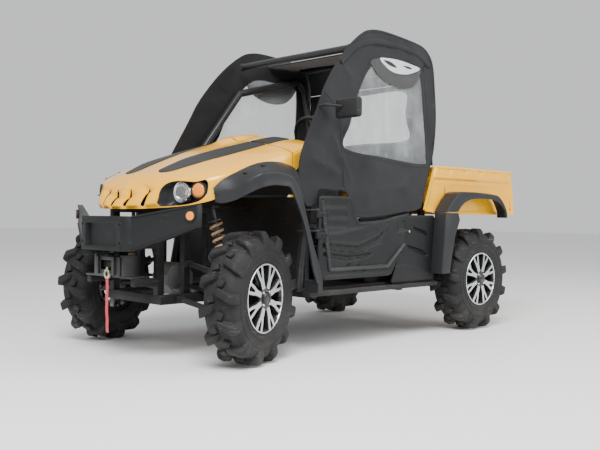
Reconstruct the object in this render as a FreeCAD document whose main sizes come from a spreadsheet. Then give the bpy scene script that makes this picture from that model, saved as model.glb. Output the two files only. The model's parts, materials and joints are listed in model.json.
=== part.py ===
import FreeCAD, Part
import math
import os
import Sketcher
from FreeCAD import Placement, Rotation, Vector

# Side by side utility vehicle, two seats, open bed.
# Millimetres. +X is forward, +Y is the vehicle's left, +Z is up.
# The origin is on the ground, under the middle of the vehicle.

os.makedirs("parts", exist_ok=True)
doc = FreeCAD.newDocument("SideBySide")
sheet = doc.addObject("Spreadsheet::Sheet", "Sizes")

# Driving sizes: name, value in millimetres or degrees, what it sets
DRIVING = [
    ("kingpin_x", 1066, "front kingpins ahead of the origin"),
    ("rear_axle_x", -960, "rear axle"),
    ("half_track", 631.5, "wheel centre from the middle"),
    ("kingpin_inset", 90, "kingpin inboard of the wheel centre"),
    ("steer_rest", 17, "front wheels as parked, turned left"),
    ("tyre_radius", 342, "over the lugs"),
    ("tyre_width", 210, "over the side lugs"),
    ("lug_height", 17, "lug above the carcass"),
    ("lug_length", 40, "lug along the tread"),
    ("lug_pitches", 13, "lugs in a row"),
    ("lug_slant", 18, "lug turned from the axle line"),
    ("bead_radius", 180, "where the tyre meets the rim"),
    ("rim_width", 192, "barrel from edge to edge"),
    ("rim_wall", 12, "barrel wall"),
    ("spoke_face", 80, "spoke face outboard of the wheel centre"),
    ("spoke_depth", 22, "spoke thickness along the axle"),
    ("spoke_width", 15, "one prong of a spoke"),
    ("spoke_gap", 13, "between the two prongs"),
    ("hub_radius", 46, "wheel hub"),
    ("spindle_radius", 24, "stub axle"),
    ("spindle_reach", 40, "stub axle end outboard of the wheel centre"),
    ("running_gap", 0.3, "between a pin or a seat and what it fits"),
    ("engine_x", -755, "engine block centre"),
    ("engine_long", 150, "engine block along the vehicle"),
    ("engine_wide", 360, "engine block across"),
    ("engine_high", 300, "engine block height"),
    ("drive_radius", 88, "final drive case"),
    ("drive_half", 70, "final drive case from the middle"),
    ("drive_foot", 30, "final drive foot along the rail"),
    ("silencer_radius", 75, "exhaust silencer"),
    ("silencer_half", 160, "exhaust silencer end from the middle"),
    ("silencer_z", 560, "exhaust silencer centre above the ground"),
    ("rail_y", 230, "frame rail centre from the middle"),
    ("rail_width", 50, "frame rail across"),
    ("rail_height", 50, "frame rail section height"),
    ("rail_bottom", 290, "ground clearance under the rails"),
    ("rail_front", 1330, "front end of the rails"),
    ("rail_rear", -1240, "rear end of the rails"),
    ("post_width", 40, "frame post and beam section"),
    ("post_y", 210, "frame post centre from the middle"),
    ("front_top", 810, "top of the front frame"),
    ("rear_top", 740, "top of the rear frame"),
    ("arm_half", 75, "upper arm leg ahead of the axle"),
    ("lower_half", 150, "lower arm leg ahead of the axle at the rail"),
    ("arm_radius", 13, "arm tube"),
    ("pivot_radius", 16, "arm pivot barrel"),
    ("ball_radius", 21, "ball joint boss"),
    ("lower_ball", 232, "underside of the lower ball joint boss"),
    ("upper_ball", 445, "underside of the upper ball joint boss"),
    ("ball_height", 25, "ball joint boss"),
    ("ball_pin", 8, "ball joint pin radius"),
    ("upper_pivot_z", 500, "upper arm pivot above the ground"),
    ("shock_radius", 38, "spring outside"),
    ("damper_radius", 19, "damper body"),
    ("cage_radius", 25, "cage tube"),
    ("cage_inset", 20, "cage post inside the floor pan's edge"),
    ("cage_lean", 55, "cage rail at the roof inside the posts"),
    ("cage_front_x", 650, "front cage post"),
    ("cage_rear_x", -570, "rear cage post"),
    ("belt_z", 1100, "where the cage leans in"),
    ("roof_z", 1812, "roof rail centre line"),
    ("rocker_top", 344.7, "top of the rockers"),
    ("floor_z", 345, "underside of the floor pan"),
    ("skin", 6, "moulded panel thickness"),
    ("cab_half", 600, "floor pan edge from the middle"),
    ("door_out", 67, "outer face of the half doors beyond the floor pan"),
    ("door_skin", 12, "half door thickness"),
    ("door_tube", 14, "half door tube radius"),
    ("hinge_x", 592, "door hinge pin"),
    ("hinge_out", 68, "door hinge pin beyond the floor pan"),
    ("hinge_pin", 6, "door hinge pin radius"),
    ("panel_out", 41.7, "outer face of the cab's side panels beyond the floor pan"),
    ("panel_wall", 31.7, "side panel from face to face"),
    ("flare_out", 135, "outer face of the flares beyond the floor pan"),
    ("flare_wall", 6, "flare wall"),
    ("soft_wall", 8, "soft door fabric and padding"),
    ("hood_wall", 6, "hood wall"),
    ("hood_pivot_x", 1385, "hood hinge"),
    ("hood_pivot_z", 795, "hood hinge"),
    ("hood_pin", 6, "hood hinge pin radius"),
    ("lamp_z", 876, "headlamp centre"),
    ("lamp_radius", 56, "clear headlamp"),
    ("amber_radius", 41, "amber lamp"),
    ("bezel_wall", 6, "lamp bezel wall"),
    ("bezel_depth", 60, "lamp bezel behind the fascia"),
    ("bumper_x", 1530, "front of the bumper"),
    ("bumper_half", 228, "bumper centre from the middle"),
    ("bumper_low", 571, "underside of the bumper centre"),
    ("bumper_high", 750, "top of the bumper centre"),
    ("bolt_radius", 6, "bumper bolt holes"),
    ("bolt_across", 360, "bumper bolt holes across"),
    ("bolt_up", 95, "bumper bolt holes up"),
    ("bed_half", 640, "bed outer face from the middle"),
    ("bed_floor", 776, "underside of the bed floor"),
    ("bed_top", 1092, "top of the bed sides"),
    ("bed_wall", 12, "bed wall"),
    ("bed_front", -655, "front wall of the bed"),
    ("bed_rear", -1531, "rear end of the bed sides"),
    ("bed_pivot_x", -1220, "bed hinge"),
    ("bed_pivot_z", 758, "bed hinge"),
    ("bed_pin", 10, "bed hinge pin radius"),
    ("gate_x", -1492, "tailgate middle"),
    ("gate_wall", 16, "tailgate thickness"),
    ("gate_post", 83, "corner posts between the bed's sides and the tailgate"),
    ("gate_gap", 5, "tailgate's edge to the corner posts"),
    ("gate_pivot_z", 805, "tailgate hinge"),
    ("gate_pin", 4, "tailgate hinge pin radius"),
    ("wheel_x", 200, "steering wheel centre"),
    ("wheel_y", 300, "steering wheel centre from the middle"),
    ("wheel_z", 1209, "steering wheel centre"),
    ("wheel_ring", 172, "steering wheel ring radius"),
    ("wheel_grip", 13, "steering wheel ring section radius"),
    ("winch_z", 430, "underside of the winch plate"),
    ("shaft_radius", 10, "steering shaft"),
    ("column_tilt", 35, "steering column below the horizontal"),
    ("arm_reach", 120, "steering arm behind the kingpin"),
    ("rod_z", 392, "tie rod above the ground"),
    ("rod_radius", 9, "tie rod"),
    ("receiver_outer", 64, "hitch receiver outside"),
    ("receiver_inner", 51, "hitch receiver socket"),
    ("receiver_pin", 8.25, "hitch pin hole radius"),
    ("receiver_rear", -1420, "mouth of the hitch receiver"),
]


class Size:
    # A number together with the sheet expression that gives it
    def __init__(self, value, text):
        self.value = float(value)
        self.text = text

    def join(self, other, sign, value):
        return Size(value, f"({self.text} {sign} {as_size(other).text})")

    def __add__(self, other):
        return self.join(other, "+", self.value + number(other))

    def __sub__(self, other):
        return self.join(other, "-", self.value - number(other))

    def __mul__(self, other):
        return self.join(other, "*", self.value * number(other))

    def __truediv__(self, other):
        return self.join(other, "/", self.value / number(other))

    def __radd__(self, other):
        return as_size(other) + self

    def __rsub__(self, other):
        return as_size(other) - self

    def __rmul__(self, other):
        return as_size(other) * self

    def __neg__(self):
        return Size(-self.value, f"(-1 * {self.text})")


def as_size(thing):
    return thing if isinstance(thing, Size) else Size(thing, f"({float(thing)})")


def number(thing):
    return thing.value if isinstance(thing, Size) else float(thing)


class Sizes:
    # Every driving size by its name
    pass


size = Sizes()
for row, (name, value, note) in enumerate(DRIVING, start=1):
    sheet.set(f"A{row}", note)
    sheet.set(f"B{row}", str(value))
    sheet.setAlias(f"B{row}", name)
doc.recompute()
for name, value, note in DRIVING:
    setattr(size, name, Size(sheet.get(name), f"Sizes.{name}"))
size.side_y = size.cab_half + size.door_out
size.hinge_y = size.cab_half + size.hinge_out
size.panel_y = size.cab_half + size.panel_out
size.flare_y = size.cab_half + size.flare_out
size.cage_low_y = size.cab_half - size.cage_inset
size.cage_high_y = size.cage_low_y - size.cage_lean
size.gate_half = size.bed_half - size.bed_wall - size.gate_post - size.gate_gap
size.ball_y = size.half_track - size.kingpin_inset

pieces = []
FRONT_AND_REAR = (1, -1)
LEFT_AND_RIGHT = (1, -1)
LEFT = 1
RIGHT = -1


# Making and placing


def piece(solid, label):
    """A finished piece of the vehicle, written to its own file."""
    solid.Label = label
    pieces.append(solid)
    return solid


def bind(thing, prop, value):
    if isinstance(value, Size):
        thing.setExpression(prop, value.text)
    else:
        setattr(thing, prop, value)


def place(thing, x, y, z, turn=Rotation()):
    thing.Placement = Placement(Vector(number(x), number(y), number(z)), turn)
    for letter, value in zip("xyz", (x, y, z)):
        if isinstance(value, Size):
            thing.setExpression(f"Placement.Base.{letter}", value.text)
    return thing


def box(name, x, y, z):
    """A block between low and high values on each axis."""
    solid = doc.addObject("Part::Box", name)
    for prop, (low, high) in zip(("Length", "Width", "Height"), (x, y, z)):
        bind(solid, prop, high - low)
    return place(solid, x[0], y[0], z[0])


def sided(side, low, high):
    """A pair of distances from the middle, on the left or the right side."""
    return (low, high) if side == LEFT else (-1 * as_size(high), -1 * as_size(low))


AXIS_TURN = {
    "X": Rotation(Vector(0, 1, 0), 90),
    "Y": Rotation(Vector(1, 0, 0), -90),
    "Z": Rotation(),
}


def cylinder(name, radius, along, start, length):
    """A round bar from start, running up the named axis."""
    solid = doc.addObject("Part::Cylinder", name)
    bind(solid, "Radius", radius)
    bind(solid, "Height", length)
    return place(solid, *start, turn=AXIS_TURN[along])


def prism(name, radius, along, start, length, flats=8):
    """A bar with flat sides, each at the given distance from its axis."""
    solid = doc.addObject("Part::Prism", name)
    solid.Polygon = flats
    bind(solid, "Circumradius", radius / math.cos(math.pi / flats))
    bind(solid, "Height", length)
    return place(solid, *start, turn=AXIS_TURN[along] * Rotation(Vector(0, 0, 1), 180 / flats))


def fuse(name, *solids):
    whole = doc.addObject("Part::MultiFuse", name)
    whole.Shapes = list(solids)
    whole.Refine = True
    return whole


def cut(name, base, *tools):
    whole = doc.addObject("Part::Cut", name)
    whole.Base = base
    whole.Tool = tools[0] if len(tools) == 1 else fuse(name + "Tools", *tools)
    whole.Refine = True
    return whole


def form(name, shape):
    """A solid that primitives can't give, from Part's own curves."""
    solid = doc.addObject("Part::Feature", name)
    solid.Shape = shape.removeSplitter()
    return solid


def group(shapes):
    return Part.makeCompound(shapes)


def point(*values):
    return Vector(*[number(value) for value in values])


def bar(start, end, radius):
    """A straight round bar between two points."""
    run = end - start
    return Part.makeCylinder(number(radius), run.Length, start, run)


LARGE_CORNER = 20


def outline(points, corner=0.0):
    """A closed line through points: a small corner is taken off in one step, a large one in two."""
    count = len(points)
    corners = []
    for index, here in enumerate(points):
        before = points[index - 1]
        after = points[(index + 1) % count]
        back = (before - here).normalize()
        on = (after - here).normalize()
        half = back.getAngle(on) / 2
        if corner <= 0 or half > math.pi / 2 - 0.1:
            corners.append(here)
            continue
        reach = min(corner / math.tan(half), 0.45 * min((before - here).Length, (after - here).Length))
        radius = reach * math.tan(half)
        middle = here + (back + on).normalize() * (radius / math.sin(half) - radius)
        corners.append(here + back * reach)
        if corner >= LARGE_CORNER:
            corners.append(middle)
        corners.append(here + on * reach)
    return Part.makePolygon(corners + [corners[0]])


def side_plate(points, low, high, corner=0.0):
    """A plate seen from the side: points are (x, z), low and high are y."""
    low, high = number(low), number(high)
    corners = [Vector(number(x), low, number(z)) for x, z in points]
    return Part.Face(outline(corners, corner)).extrude(Vector(0, high - low, 0))


def plan_plate(points, low, high, corner=0.0):
    """A plate seen from above: points are (x, y), low and high are z."""
    low, high = number(low), number(high)
    corners = [Vector(number(x), number(y), low) for x, y in points]
    return Part.Face(outline(corners, corner)).extrude(Vector(0, 0, high - low))


def front_plate(points, low, high, corner=0.0):
    """A plate seen from the front: points are (y, z), low and high are x."""
    low, high = number(low), number(high)
    corners = [Vector(low, number(y), number(z)) for y, z in points]
    return Part.Face(outline(corners, corner)).extrude(Vector(high - low, 0, 0))


def inset_line(points, distance):
    """An open line of (x, z) moved to its right hand side."""
    moved = []
    for index, (x, z) in enumerate(points):
        before = points[max(index - 1, 0)]
        after = points[min(index + 1, len(points) - 1)]
        first = Vector(x - before[0], z - before[1], 0)
        second = Vector(after[0] - x, after[1] - z, 0)
        first = first.normalize() if first.Length else second.normalize()
        second = second.normalize() if second.Length else first
        along = (first + second).normalize()
        square = max(along.dot(first), 0.3)
        moved.append((x + along.y * distance / square, z - along.x * distance / square))
    return moved


def skin_line(points, thickness):
    """An open line of (x, z) as a closed strip, inside on its right hand side."""
    return list(points) + inset_line(points, number(thickness))[::-1]


def flat_faces(a, b, c, d):
    """One face over four corners where they lie flat, or else two."""
    square = (b - a).cross(d - a)
    flat = square.Length > 1e-6 and abs((c - a).dot(square.normalize())) < 1e-4
    corners = [(a, b, c, d)] if flat else [(a, b, c), (a, c, d)]
    return [Part.Face(Part.makePolygon([*face, face[0]])) for face in corners]


def end_faces(ring, thin):
    """The faces that close one end: for a thin section, across its thickness."""
    if not thin:
        return [Part.Face(Part.makePolygon([*ring, ring[0]]))]
    faces = []
    for index in range(len(ring) // 2 - 1):
        faces += flat_faces(ring[index], ring[index + 1], ring[-2 - index], ring[-1 - index])
    return faces


def skin_over(rings, closed=False, thin=False):
    """A solid whose flat faces join rings of corners, each ring in the same order."""
    faces = []
    following_rings = rings[1:] + rings[:1] if closed else rings[1:]
    for first, second in zip(rings, following_rings):
        for index in range(len(first)):
            other = (index + 1) % len(first)
            faces += flat_faces(first[index], first[other], second[other], second[index])
    if not closed:
        faces += end_faces(rings[0], thin) + end_faces(rings[-1], thin)
    solid = Part.Solid(Part.makeShell(faces))
    if solid.Volume < 0:
        solid.reverse()
    return solid


BEND_STEP = math.radians(40)


def tube_path(points, bends):
    """The corners of a tube's centre line, its bends taken in short steps."""
    path = [points[0]]
    for before, here, after, bend in zip(points, points[1:], points[2:], bends):
        back = (before - here).normalize()
        on = (after - here).normalize()
        half = back.getAngle(on) / 2
        if bend == 0:
            path.append(here)
            continue
        centre = here + (back + on).normalize() * (bend / math.sin(half))
        arm = here + back * (bend / math.tan(half)) - centre
        turn = math.pi - 2 * half
        steps = math.ceil(turn / BEND_STEP)
        for step in range(steps + 1):
            spin = Rotation(on.cross(back), math.degrees(turn * step / steps))
            path.append(centre + spin.multVec(arm))
    return path + [points[-1]]


def tube(points, radius, bends=(), flats=8):
    """A tube of straight runs with flat sides, mitred where two runs meet."""
    path = tube_path(points, list(bends) or [0] * (len(points) - 2))
    radius = number(radius) / math.cos(math.pi / flats)
    run = (path[1] - path[0]).normalize()
    upright_run = abs(run.z) > 0.9
    side = run.cross(Vector(1, 0, 0) if upright_run else Vector(0, 0, 1)).normalize()
    square = side.cross(run)
    ring = []
    for corner in range(flats):
        angle = 2 * math.pi * (corner + 0.5) / flats
        ring.append(path[0] + side * (radius * math.cos(angle)) + square * (radius * math.sin(angle)))
    rings = [ring]
    for index, here in enumerate(path[1:], start=1):
        run = (here - path[index - 1]).normalize()
        following = (path[index + 1] - here).normalize() if index + 1 < len(path) else run
        mitre = run + following
        rings.append([
            corner + run * ((here - corner).dot(mitre) / run.dot(mitre)) for corner in rings[-1]
        ])
    return skin_over(rings)


def hinge_pin(start, end, radius, first):
    """A hinge's pin: the first of a row is round, and a repeat has flat sides that fit inside."""
    if first:
        return bar(start, end, radius)
    return tube([start, end], number(radius) * math.cos(math.pi / 8))


def turned(profile, flats=20):
    """A ring with flat sides about the Y axis: the profile is (y, distance of the flat)."""
    grow = 1 / math.cos(math.pi / flats)
    rings = []
    for step in range(flats):
        angle = 2 * math.pi * (step + 0.5) / flats
        rings.append([
            Vector(math.sin(angle) * r * grow, y, math.cos(angle) * r * grow) for y, r in profile
        ])
    return skin_over(rings, closed=True)


def sketch_on(body, role, name):
    """A sketch on one of the body's own planes."""
    plane = [feature for feature in body.Origin.OriginFeatures if feature.Role == role][0]
    sketch = body.newObject("Sketcher::SketchObject", name)
    sketch.AttachmentSupport = [(plane, "")]
    sketch.MapMode = "FlatFace"
    return sketch


def draw(sketch, points):
    """A closed outline whose corners stand at named distances from the sketch's axes."""
    flat = [Vector(number(x), number(y), 0) for x, y in points]
    for index, here in enumerate(flat):
        sketch.addGeometry(Part.LineSegment(here, flat[(index + 1) % len(flat)]), False)
    for index in range(len(flat)):
        following = (index + 1) % len(flat)
        sketch.addConstraint(Sketcher.Constraint("Coincident", index, 2, following, 1))
    for index, corner in enumerate(points):
        for kind, value in zip(("DistanceX", "DistanceY"), corner):
            place_at = sketch.addConstraint(
                Sketcher.Constraint(kind, -1, 1, index, 1, number(value))
            )
            if isinstance(value, Size):
                sketch.setExpression(f"Constraints[{place_at}]", value.text)
    return sketch


# Frame: two rails, posts over the axles, beams between them


def main_frame():
    half = size.rail_width / 2
    top = size.rail_bottom + size.rail_height
    members = []
    for side in LEFT_AND_RIGHT:
        members.append(box(
            "Rail",
            (size.rail_rear, size.rail_front),
            sided(side, size.rail_y - half, size.rail_y + half),
            (size.rail_bottom, top),
        ))
    inner = size.rail_y - half
    # Cross members: start along the rails
    for start in (size.rail_front - size.post_width, size.kingpin_x - 330, as_size(520),
                  as_size(-260), size.rear_axle_x + 250, size.rail_rear):
        members.append(box(
            "CrossMember", (start, start + size.post_width), (-inner, inner), (size.rail_bottom, top),
        ))
    # Outriggers carry the edge of the floor and the rockers
    for start in (as_size(520), as_size(-260)):
        for side in LEFT_AND_RIGHT:
            members.append(box(
                "Outrigger",
                (start, start + size.post_width),
                sided(side, size.rail_y + half, size.cab_half),
                (top - size.post_width, top),
            ))
    piece(fuse("MainFrame", *members), "main_frame")


def axle_frame(label, axle, top, beam_front, beam_rear):
    """Posts and beams over one axle, with the towers that the shocks hang from."""
    rail_top = size.rail_bottom + size.rail_height
    half = size.post_width / 2
    members = []
    for side in LEFT_AND_RIGHT:
        across = sided(side, size.post_y - half, size.post_y + half)
        for end in FRONT_AND_REAR:
            middle = axle + end * size.arm_half
            members.append(box("Post", (middle - half, middle + half), across, (rail_top, top)))
        members.append(box(
            "TopBeam", (beam_rear, beam_front), across, (top - size.post_width, top),
        ))
    inner = size.post_y - half
    for start in (beam_rear, axle - size.arm_half - half, beam_front - size.post_width):
        members.append(box(
            "TopCross", (start, start + size.post_width), (-inner, inner), (top - size.post_width, top),
        ))
    return members


def front_frame():
    half = size.post_width / 2
    members = axle_frame("front", size.kingpin_x, size.front_top, size.rail_front, size.cage_front_x + 40)
    rail_top = size.rail_bottom + size.rail_height
    for side in LEFT_AND_RIGHT:
        across = sided(side, size.post_y - half, size.post_y + half)
        members.append(box(
            "NosePost",
            (size.rail_front - size.post_width, size.rail_front),
            across,
            (rail_top, size.front_top - size.post_width),
        ))
        members.append(box(
            "WinchArm",
            (size.rail_front, size.bumper_x - 60),
            across,
            (size.winch_z - size.post_width, size.winch_z - size.running_gap),
        ))
        for height in (size.bumper_low + 12, size.bumper_high - 52):
            members.append(box(
                "BumperHorn",
                (size.rail_front, size.bumper_x - 90),
                across,
                (height, height + size.post_width),
            ))
        members.append(box(
            "ShockTower",
            (size.kingpin_x - 5, size.kingpin_x + 45),
            sided(side, size.post_y + half, size.ball_y - 141.5),
            (size.front_top - 12, size.front_top),
        ))
        # Eyes for the hood's hinge pin reach forward from the top cross member
        near, far = sided(side, as_size(112), as_size(130))
        members.append(box(
            "HoodEyeArm",
            (size.rail_front, size.hood_pivot_x),
            (near, far),
            (size.hood_pivot_z - 10, size.hood_pivot_z + 10),
        ))
        members.append(prism(
            "HoodEye",
            as_size(13),
            "Y",
            (size.hood_pivot_x, near, size.hood_pivot_z),
            as_size(18),
        ))
    # Guides for the rack bar stand on the rear posts
    reach = size.arm_reach.value * math.cos(math.radians(size.steer_rest.value))
    rod_x = size.kingpin_x - reach
    for side in LEFT_AND_RIGHT:
        members.append(box(
            "RackGuide",
            (rod_x - 18, size.kingpin_x - size.arm_half - half),
            sided(side, size.post_y - half, size.post_y + half),
            (size.rod_z - 20, size.rod_z + 20),
        ))
    bore_half = size.post_y + size.post_width
    bore = prism(
        "RackBore",
        size.rod_radius + size.running_gap,
        "Y",
        (rod_x, -bore_half, size.rod_z),
        2 * bore_half,
    )
    hinge_bore = prism(
        "HoodPinBore",
        size.hood_pin + size.running_gap,
        "Y",
        (size.hood_pivot_x, -bore_half, size.hood_pivot_z),
        2 * bore_half,
    )
    piece(cut("FrontFrame", fuse("FrontMembers", *members), bore, hinge_bore), "front_frame")


def rear_frame():
    half = size.post_width / 2
    members = axle_frame(
        "rear", size.rear_axle_x, size.rear_top, size.rear_axle_x + 260, size.rail_rear,
    )
    rail_top = size.rail_bottom + size.rail_height
    for side in LEFT_AND_RIGHT:
        across = sided(side, size.post_y - half, size.post_y + half)
        members.append(box(
            "TailPost",
            (size.rail_rear, size.rail_rear + size.post_width),
            across,
            (rail_top, size.rear_top),
        ))
        members.append(box(
            "FrontPad",
            (size.rear_axle_x + 230, size.rear_axle_x + 260),
            across,
            (size.rear_top, size.bed_floor - size.running_gap),
        ))
        members.append(box(
            "ShockTower",
            (size.rear_axle_x - 5, size.rear_axle_x + 45),
            sided(side, size.post_y + half, size.ball_y - 141.5),
            (size.rear_top - 12, size.rear_top),
        ))
        members.append(box(
            "HingeLug",
            (size.bed_pivot_x - 15, size.bed_pivot_x + 15),
            across,
            (size.rear_top, size.bed_pivot_z),
        ))
        members.append(prism(
            "HingeEye", as_size(15), "Y", (size.bed_pivot_x, across[0], size.bed_pivot_z), size.post_width,
        ))
    whole = fuse("RearMembers", *members)
    bore = prism(
        "HingeBore",
        size.bed_pin + size.running_gap,
        "Y",
        (size.bed_pivot_x, -size.rail_y - 40, size.bed_pivot_z),
        2 * size.rail_y + 80,
    )
    piece(cut("RearFrame", whole, bore), "rear_frame")


def hitch_receiver():
    """A square socket with a cross hole for the hitch pin."""
    body = doc.addObject("PartDesign::Body", "HitchReceiver")
    outer = size.receiver_outer / 2
    inner = size.receiver_inner / 2
    start = size.rail_rear - size.running_gap
    tube_sketch = draw(
        sketch_on(body, "YZ_Plane", "ReceiverOutside"),
        [(-outer, -outer), (outer, -outer), (outer, outer), (-outer, outer)],
    )
    shell = body.newObject("PartDesign::Pad", "ReceiverShell")
    shell.Profile = tube_sketch
    bind(shell, "Length", start - size.receiver_rear)
    doc.recompute()
    socket_sketch = draw(
        sketch_on(body, "YZ_Plane", "ReceiverSocket"),
        [(-inner, -inner), (inner, -inner), (inner, inner), (-inner, inner)],
    )
    socket = body.newObject("PartDesign::Pocket", "Socket")
    socket.Profile = socket_sketch
    socket.Reversed = True
    bind(socket, "Length", start - size.receiver_rear - size.skin)
    doc.recompute()
    hole_sketch = sketch_on(body, "XZ_Plane", "PinHoleCentre")
    circle = hole_sketch.addGeometry(Part.Circle(Vector(60, 0, 0), Vector(0, 0, 1), 8), False)
    hole_sketch.addConstraint(Sketcher.Constraint("DistanceX", -1, 1, circle, 3, 60))
    hole_sketch.addConstraint(Sketcher.Constraint("PointOnObject", circle, 3, -1))
    radius = hole_sketch.addConstraint(Sketcher.Constraint("Radius", circle, 8))
    hole_sketch.setExpression(f"Constraints[{radius}]", size.receiver_pin.text)
    hole = body.newObject("PartDesign::Pocket", "PinHole")
    hole.Profile = hole_sketch
    hole.Type = 1
    hole.Midplane = True
    body.Tip = hole
    place(body, size.receiver_rear, 0, size.rail_bottom + size.rail_height / 2)
    piece(body, "hitch_receiver")


# Cage: two side hoops and the bars between them


def hoop_points(side):
    """The line of a side hoop, from the front foot over the roof to the rear foot."""
    low_y = side * size.cage_low_y
    high_y = side * size.cage_high_y
    foot = size.floor_z + size.skin + 6
    return [
        point(size.cage_front_x, low_y, foot),
        point(size.cage_front_x, low_y, size.belt_z),
        point(size.cage_front_x - 440, high_y, size.roof_z - 55),
        point(size.cage_rear_x + 90, high_y, size.roof_z),
        point(size.cage_rear_x, high_y, size.roof_z - 120),
        point(size.cage_rear_x, low_y, size.belt_z),
        point(size.cage_rear_x, low_y, foot),
    ]


HINGE_HEIGHTS = (637, 752)
HINGE_BARREL = 36


def cage_hoop(side, label):
    hoop = tube(hoop_points(side), size.cage_radius, (130, 170, 70, 60, 130))
    lugs = []
    pin_y = side * number(size.hinge_y)
    post_y = side * number(size.cage_low_y)
    hinge_x = number(size.hinge_x)
    post_x = number(size.cage_front_x)
    for index, height in enumerate(HINGE_HEIGHTS):
        low = height + HINGE_BARREL + number(size.running_gap)
        corners = [
            (hinge_x - 9, pin_y + side * 9), (hinge_x + 9, pin_y + side * 9),
            (post_x + 12, post_y), (post_x - 12, post_y),
        ]
        lugs.append(plan_plate(corners, low, low + 9))
        foot = Vector(hinge_x, pin_y, height)
        head = Vector(hinge_x, pin_y, low + 4)
        lugs.append(hinge_pin(foot, head, size.hinge_pin, index == 0))
    piece(form(label.title().replace("_", ""), hoop.fuse(lugs)), label)


def cage_bars():
    """Cross tubes from hoop to hoop."""
    gap = size.cage_radius + 3 * size.running_gap
    high = size.cage_high_y - gap
    low = size.cage_low_y - gap
    # Cross tubes: x, z, half length
    bars = [
        (size.cage_front_x - 520, size.roof_z - 42, high),
        (size.cage_rear_x + 120, size.roof_z - 4, high),
        (size.cage_front_x, size.belt_z - 90, low),
        (size.cage_rear_x, size.belt_z - 60, low),
        (size.cage_rear_x, as_size(640), low),
    ]
    members = [
        prism("CrossTube", size.cage_radius - 3, "Y", (x, -half, z), 2 * half) for x, z, half in bars
    ]
    piece(fuse("CageBars", *members), "cage_bars")


# Cab: floor, dash, seats


def floor_pan():
    """A tray with a raised toe board in front and a tunnel down the middle."""
    front = number(size.cage_front_x) - 40
    rear = number(size.cage_rear_x) + 40
    half = number(size.cab_half)
    low = number(size.floor_z)
    skin = number(size.skin) + 6
    tray = Part.makeBox(front - rear, 2 * half, skin, Vector(rear, -half, low))
    toe = side_plate(
        [(front - 30, low + skin), (front, low + skin), (front - 10, low + 520), (front - 22, low + 520)],
        -half, half,
    )
    tunnel_half = 70
    tunnel = Part.makeBox(front - 60, 2 * tunnel_half, 130, Vector(0, -tunnel_half, low + skin))
    posts = []
    for x in (size.cage_front_x, size.cage_rear_x):
        for side in LEFT_AND_RIGHT:
            foot = point(x, side * size.cage_low_y, low)
            posts.append(tube([foot, foot + Vector(0, 0, skin)], size.cage_radius + 4))
    foot_in = min(half, number(size.cage_low_y)) - 40
    foot_out = max(half, number(size.cage_low_y) + 20)
    feet = [
        Part.makeBox(90, foot_out - foot_in, skin, Vector(x, y, low))
        for x in (front - 30, rear - 60)
        for y in (foot_in, -foot_out)
    ]
    piece(form("FloorPan", tray.fuse([toe, tunnel] + posts + feet).removeSplitter()), "floor_pan")


def dash():
    """The dash board with its instrument pod and the steering column's jacket."""
    rear = number(size.cage_front_x) - 170
    front = number(size.cage_front_x) - 50
    half = number(size.cage_low_y) - number(size.cage_radius) - 8
    top = number(size.belt_z) + 28
    profile = [(rear + 30, 880), (front, 880), (front, top), (front - 50, top), (rear, 1085), (rear, 940)]
    board = side_plate(profile, -half, half)
    tilt = math.radians(number(size.column_tilt))
    along = Vector(math.cos(tilt), 0, -math.sin(tilt))
    hub = point(size.wheel_x, size.wheel_y, size.wheel_z)
    jacket = tube([hub + along * 45, hub + along * 375], 28)
    socket = tube([hub + along * 40, hub + along * 120], size.shaft_radius + size.running_gap)
    pod = side_plate(
        [(rear - 35, 1075), (rear + 40, 1075), (rear + 60, 1180), (rear - 20, 1180)],
        number(size.wheel_y) - 95, number(size.wheel_y) + 95, 16,
    )
    cross = number(size.belt_z) - 90
    # The board hangs from the cage's cross tube
    hanger_line = [
        (front - 10, cross - 45), (front + 36, cross - 45), (front + 84, cross - 20),
        (front + 84, cross + 20), (front + 36, cross + 45), (front - 10, cross + 45),
    ]
    hanger = side_plate(hanger_line, -half + 60, -half + 90)
    hangers = [hanger, hanger.translated(Vector(0, 2 * half - 150, 0))]
    bore = tube(
        [Vector(front + 50, -half - 20, cross), Vector(front + 50, half + 20, cross)],
        size.cage_radius - 3 + size.running_gap,
    )
    whole = board.fuse([jacket, pod] + hangers).cut([bore, socket])
    piece(form("Dash", whole), "dash")


# Cowl sections: x, half width, side low z, side top z, crown z, rise of the scoop
COWL_SECTIONS = (
    (450, 541, 1100, 1160, 1238, 9),
    (545, 541, 1100, 1148, 1228, 16),
    (678, 541, 1080, 1116, 1194, 21),
)


def cowl():
    """The fixed part of the hood between the cage posts, on top of the dash."""
    shell = hood_shell(COWL_SECTIONS, 0, 5)
    top = number(size.belt_z) + 28 + number(size.running_gap)
    under = Part.makeBox(300, 1200, 300, Vector(300.3, -600, top - 300))
    piece(form("Cowl", shell.cut(under)), "cowl")


SEAT_FRONT = 70
SEAT_REAR = -390
SEAT_TOP = 690
SEAT_INNER = 85
SEAT_OUTER = 545


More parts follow.
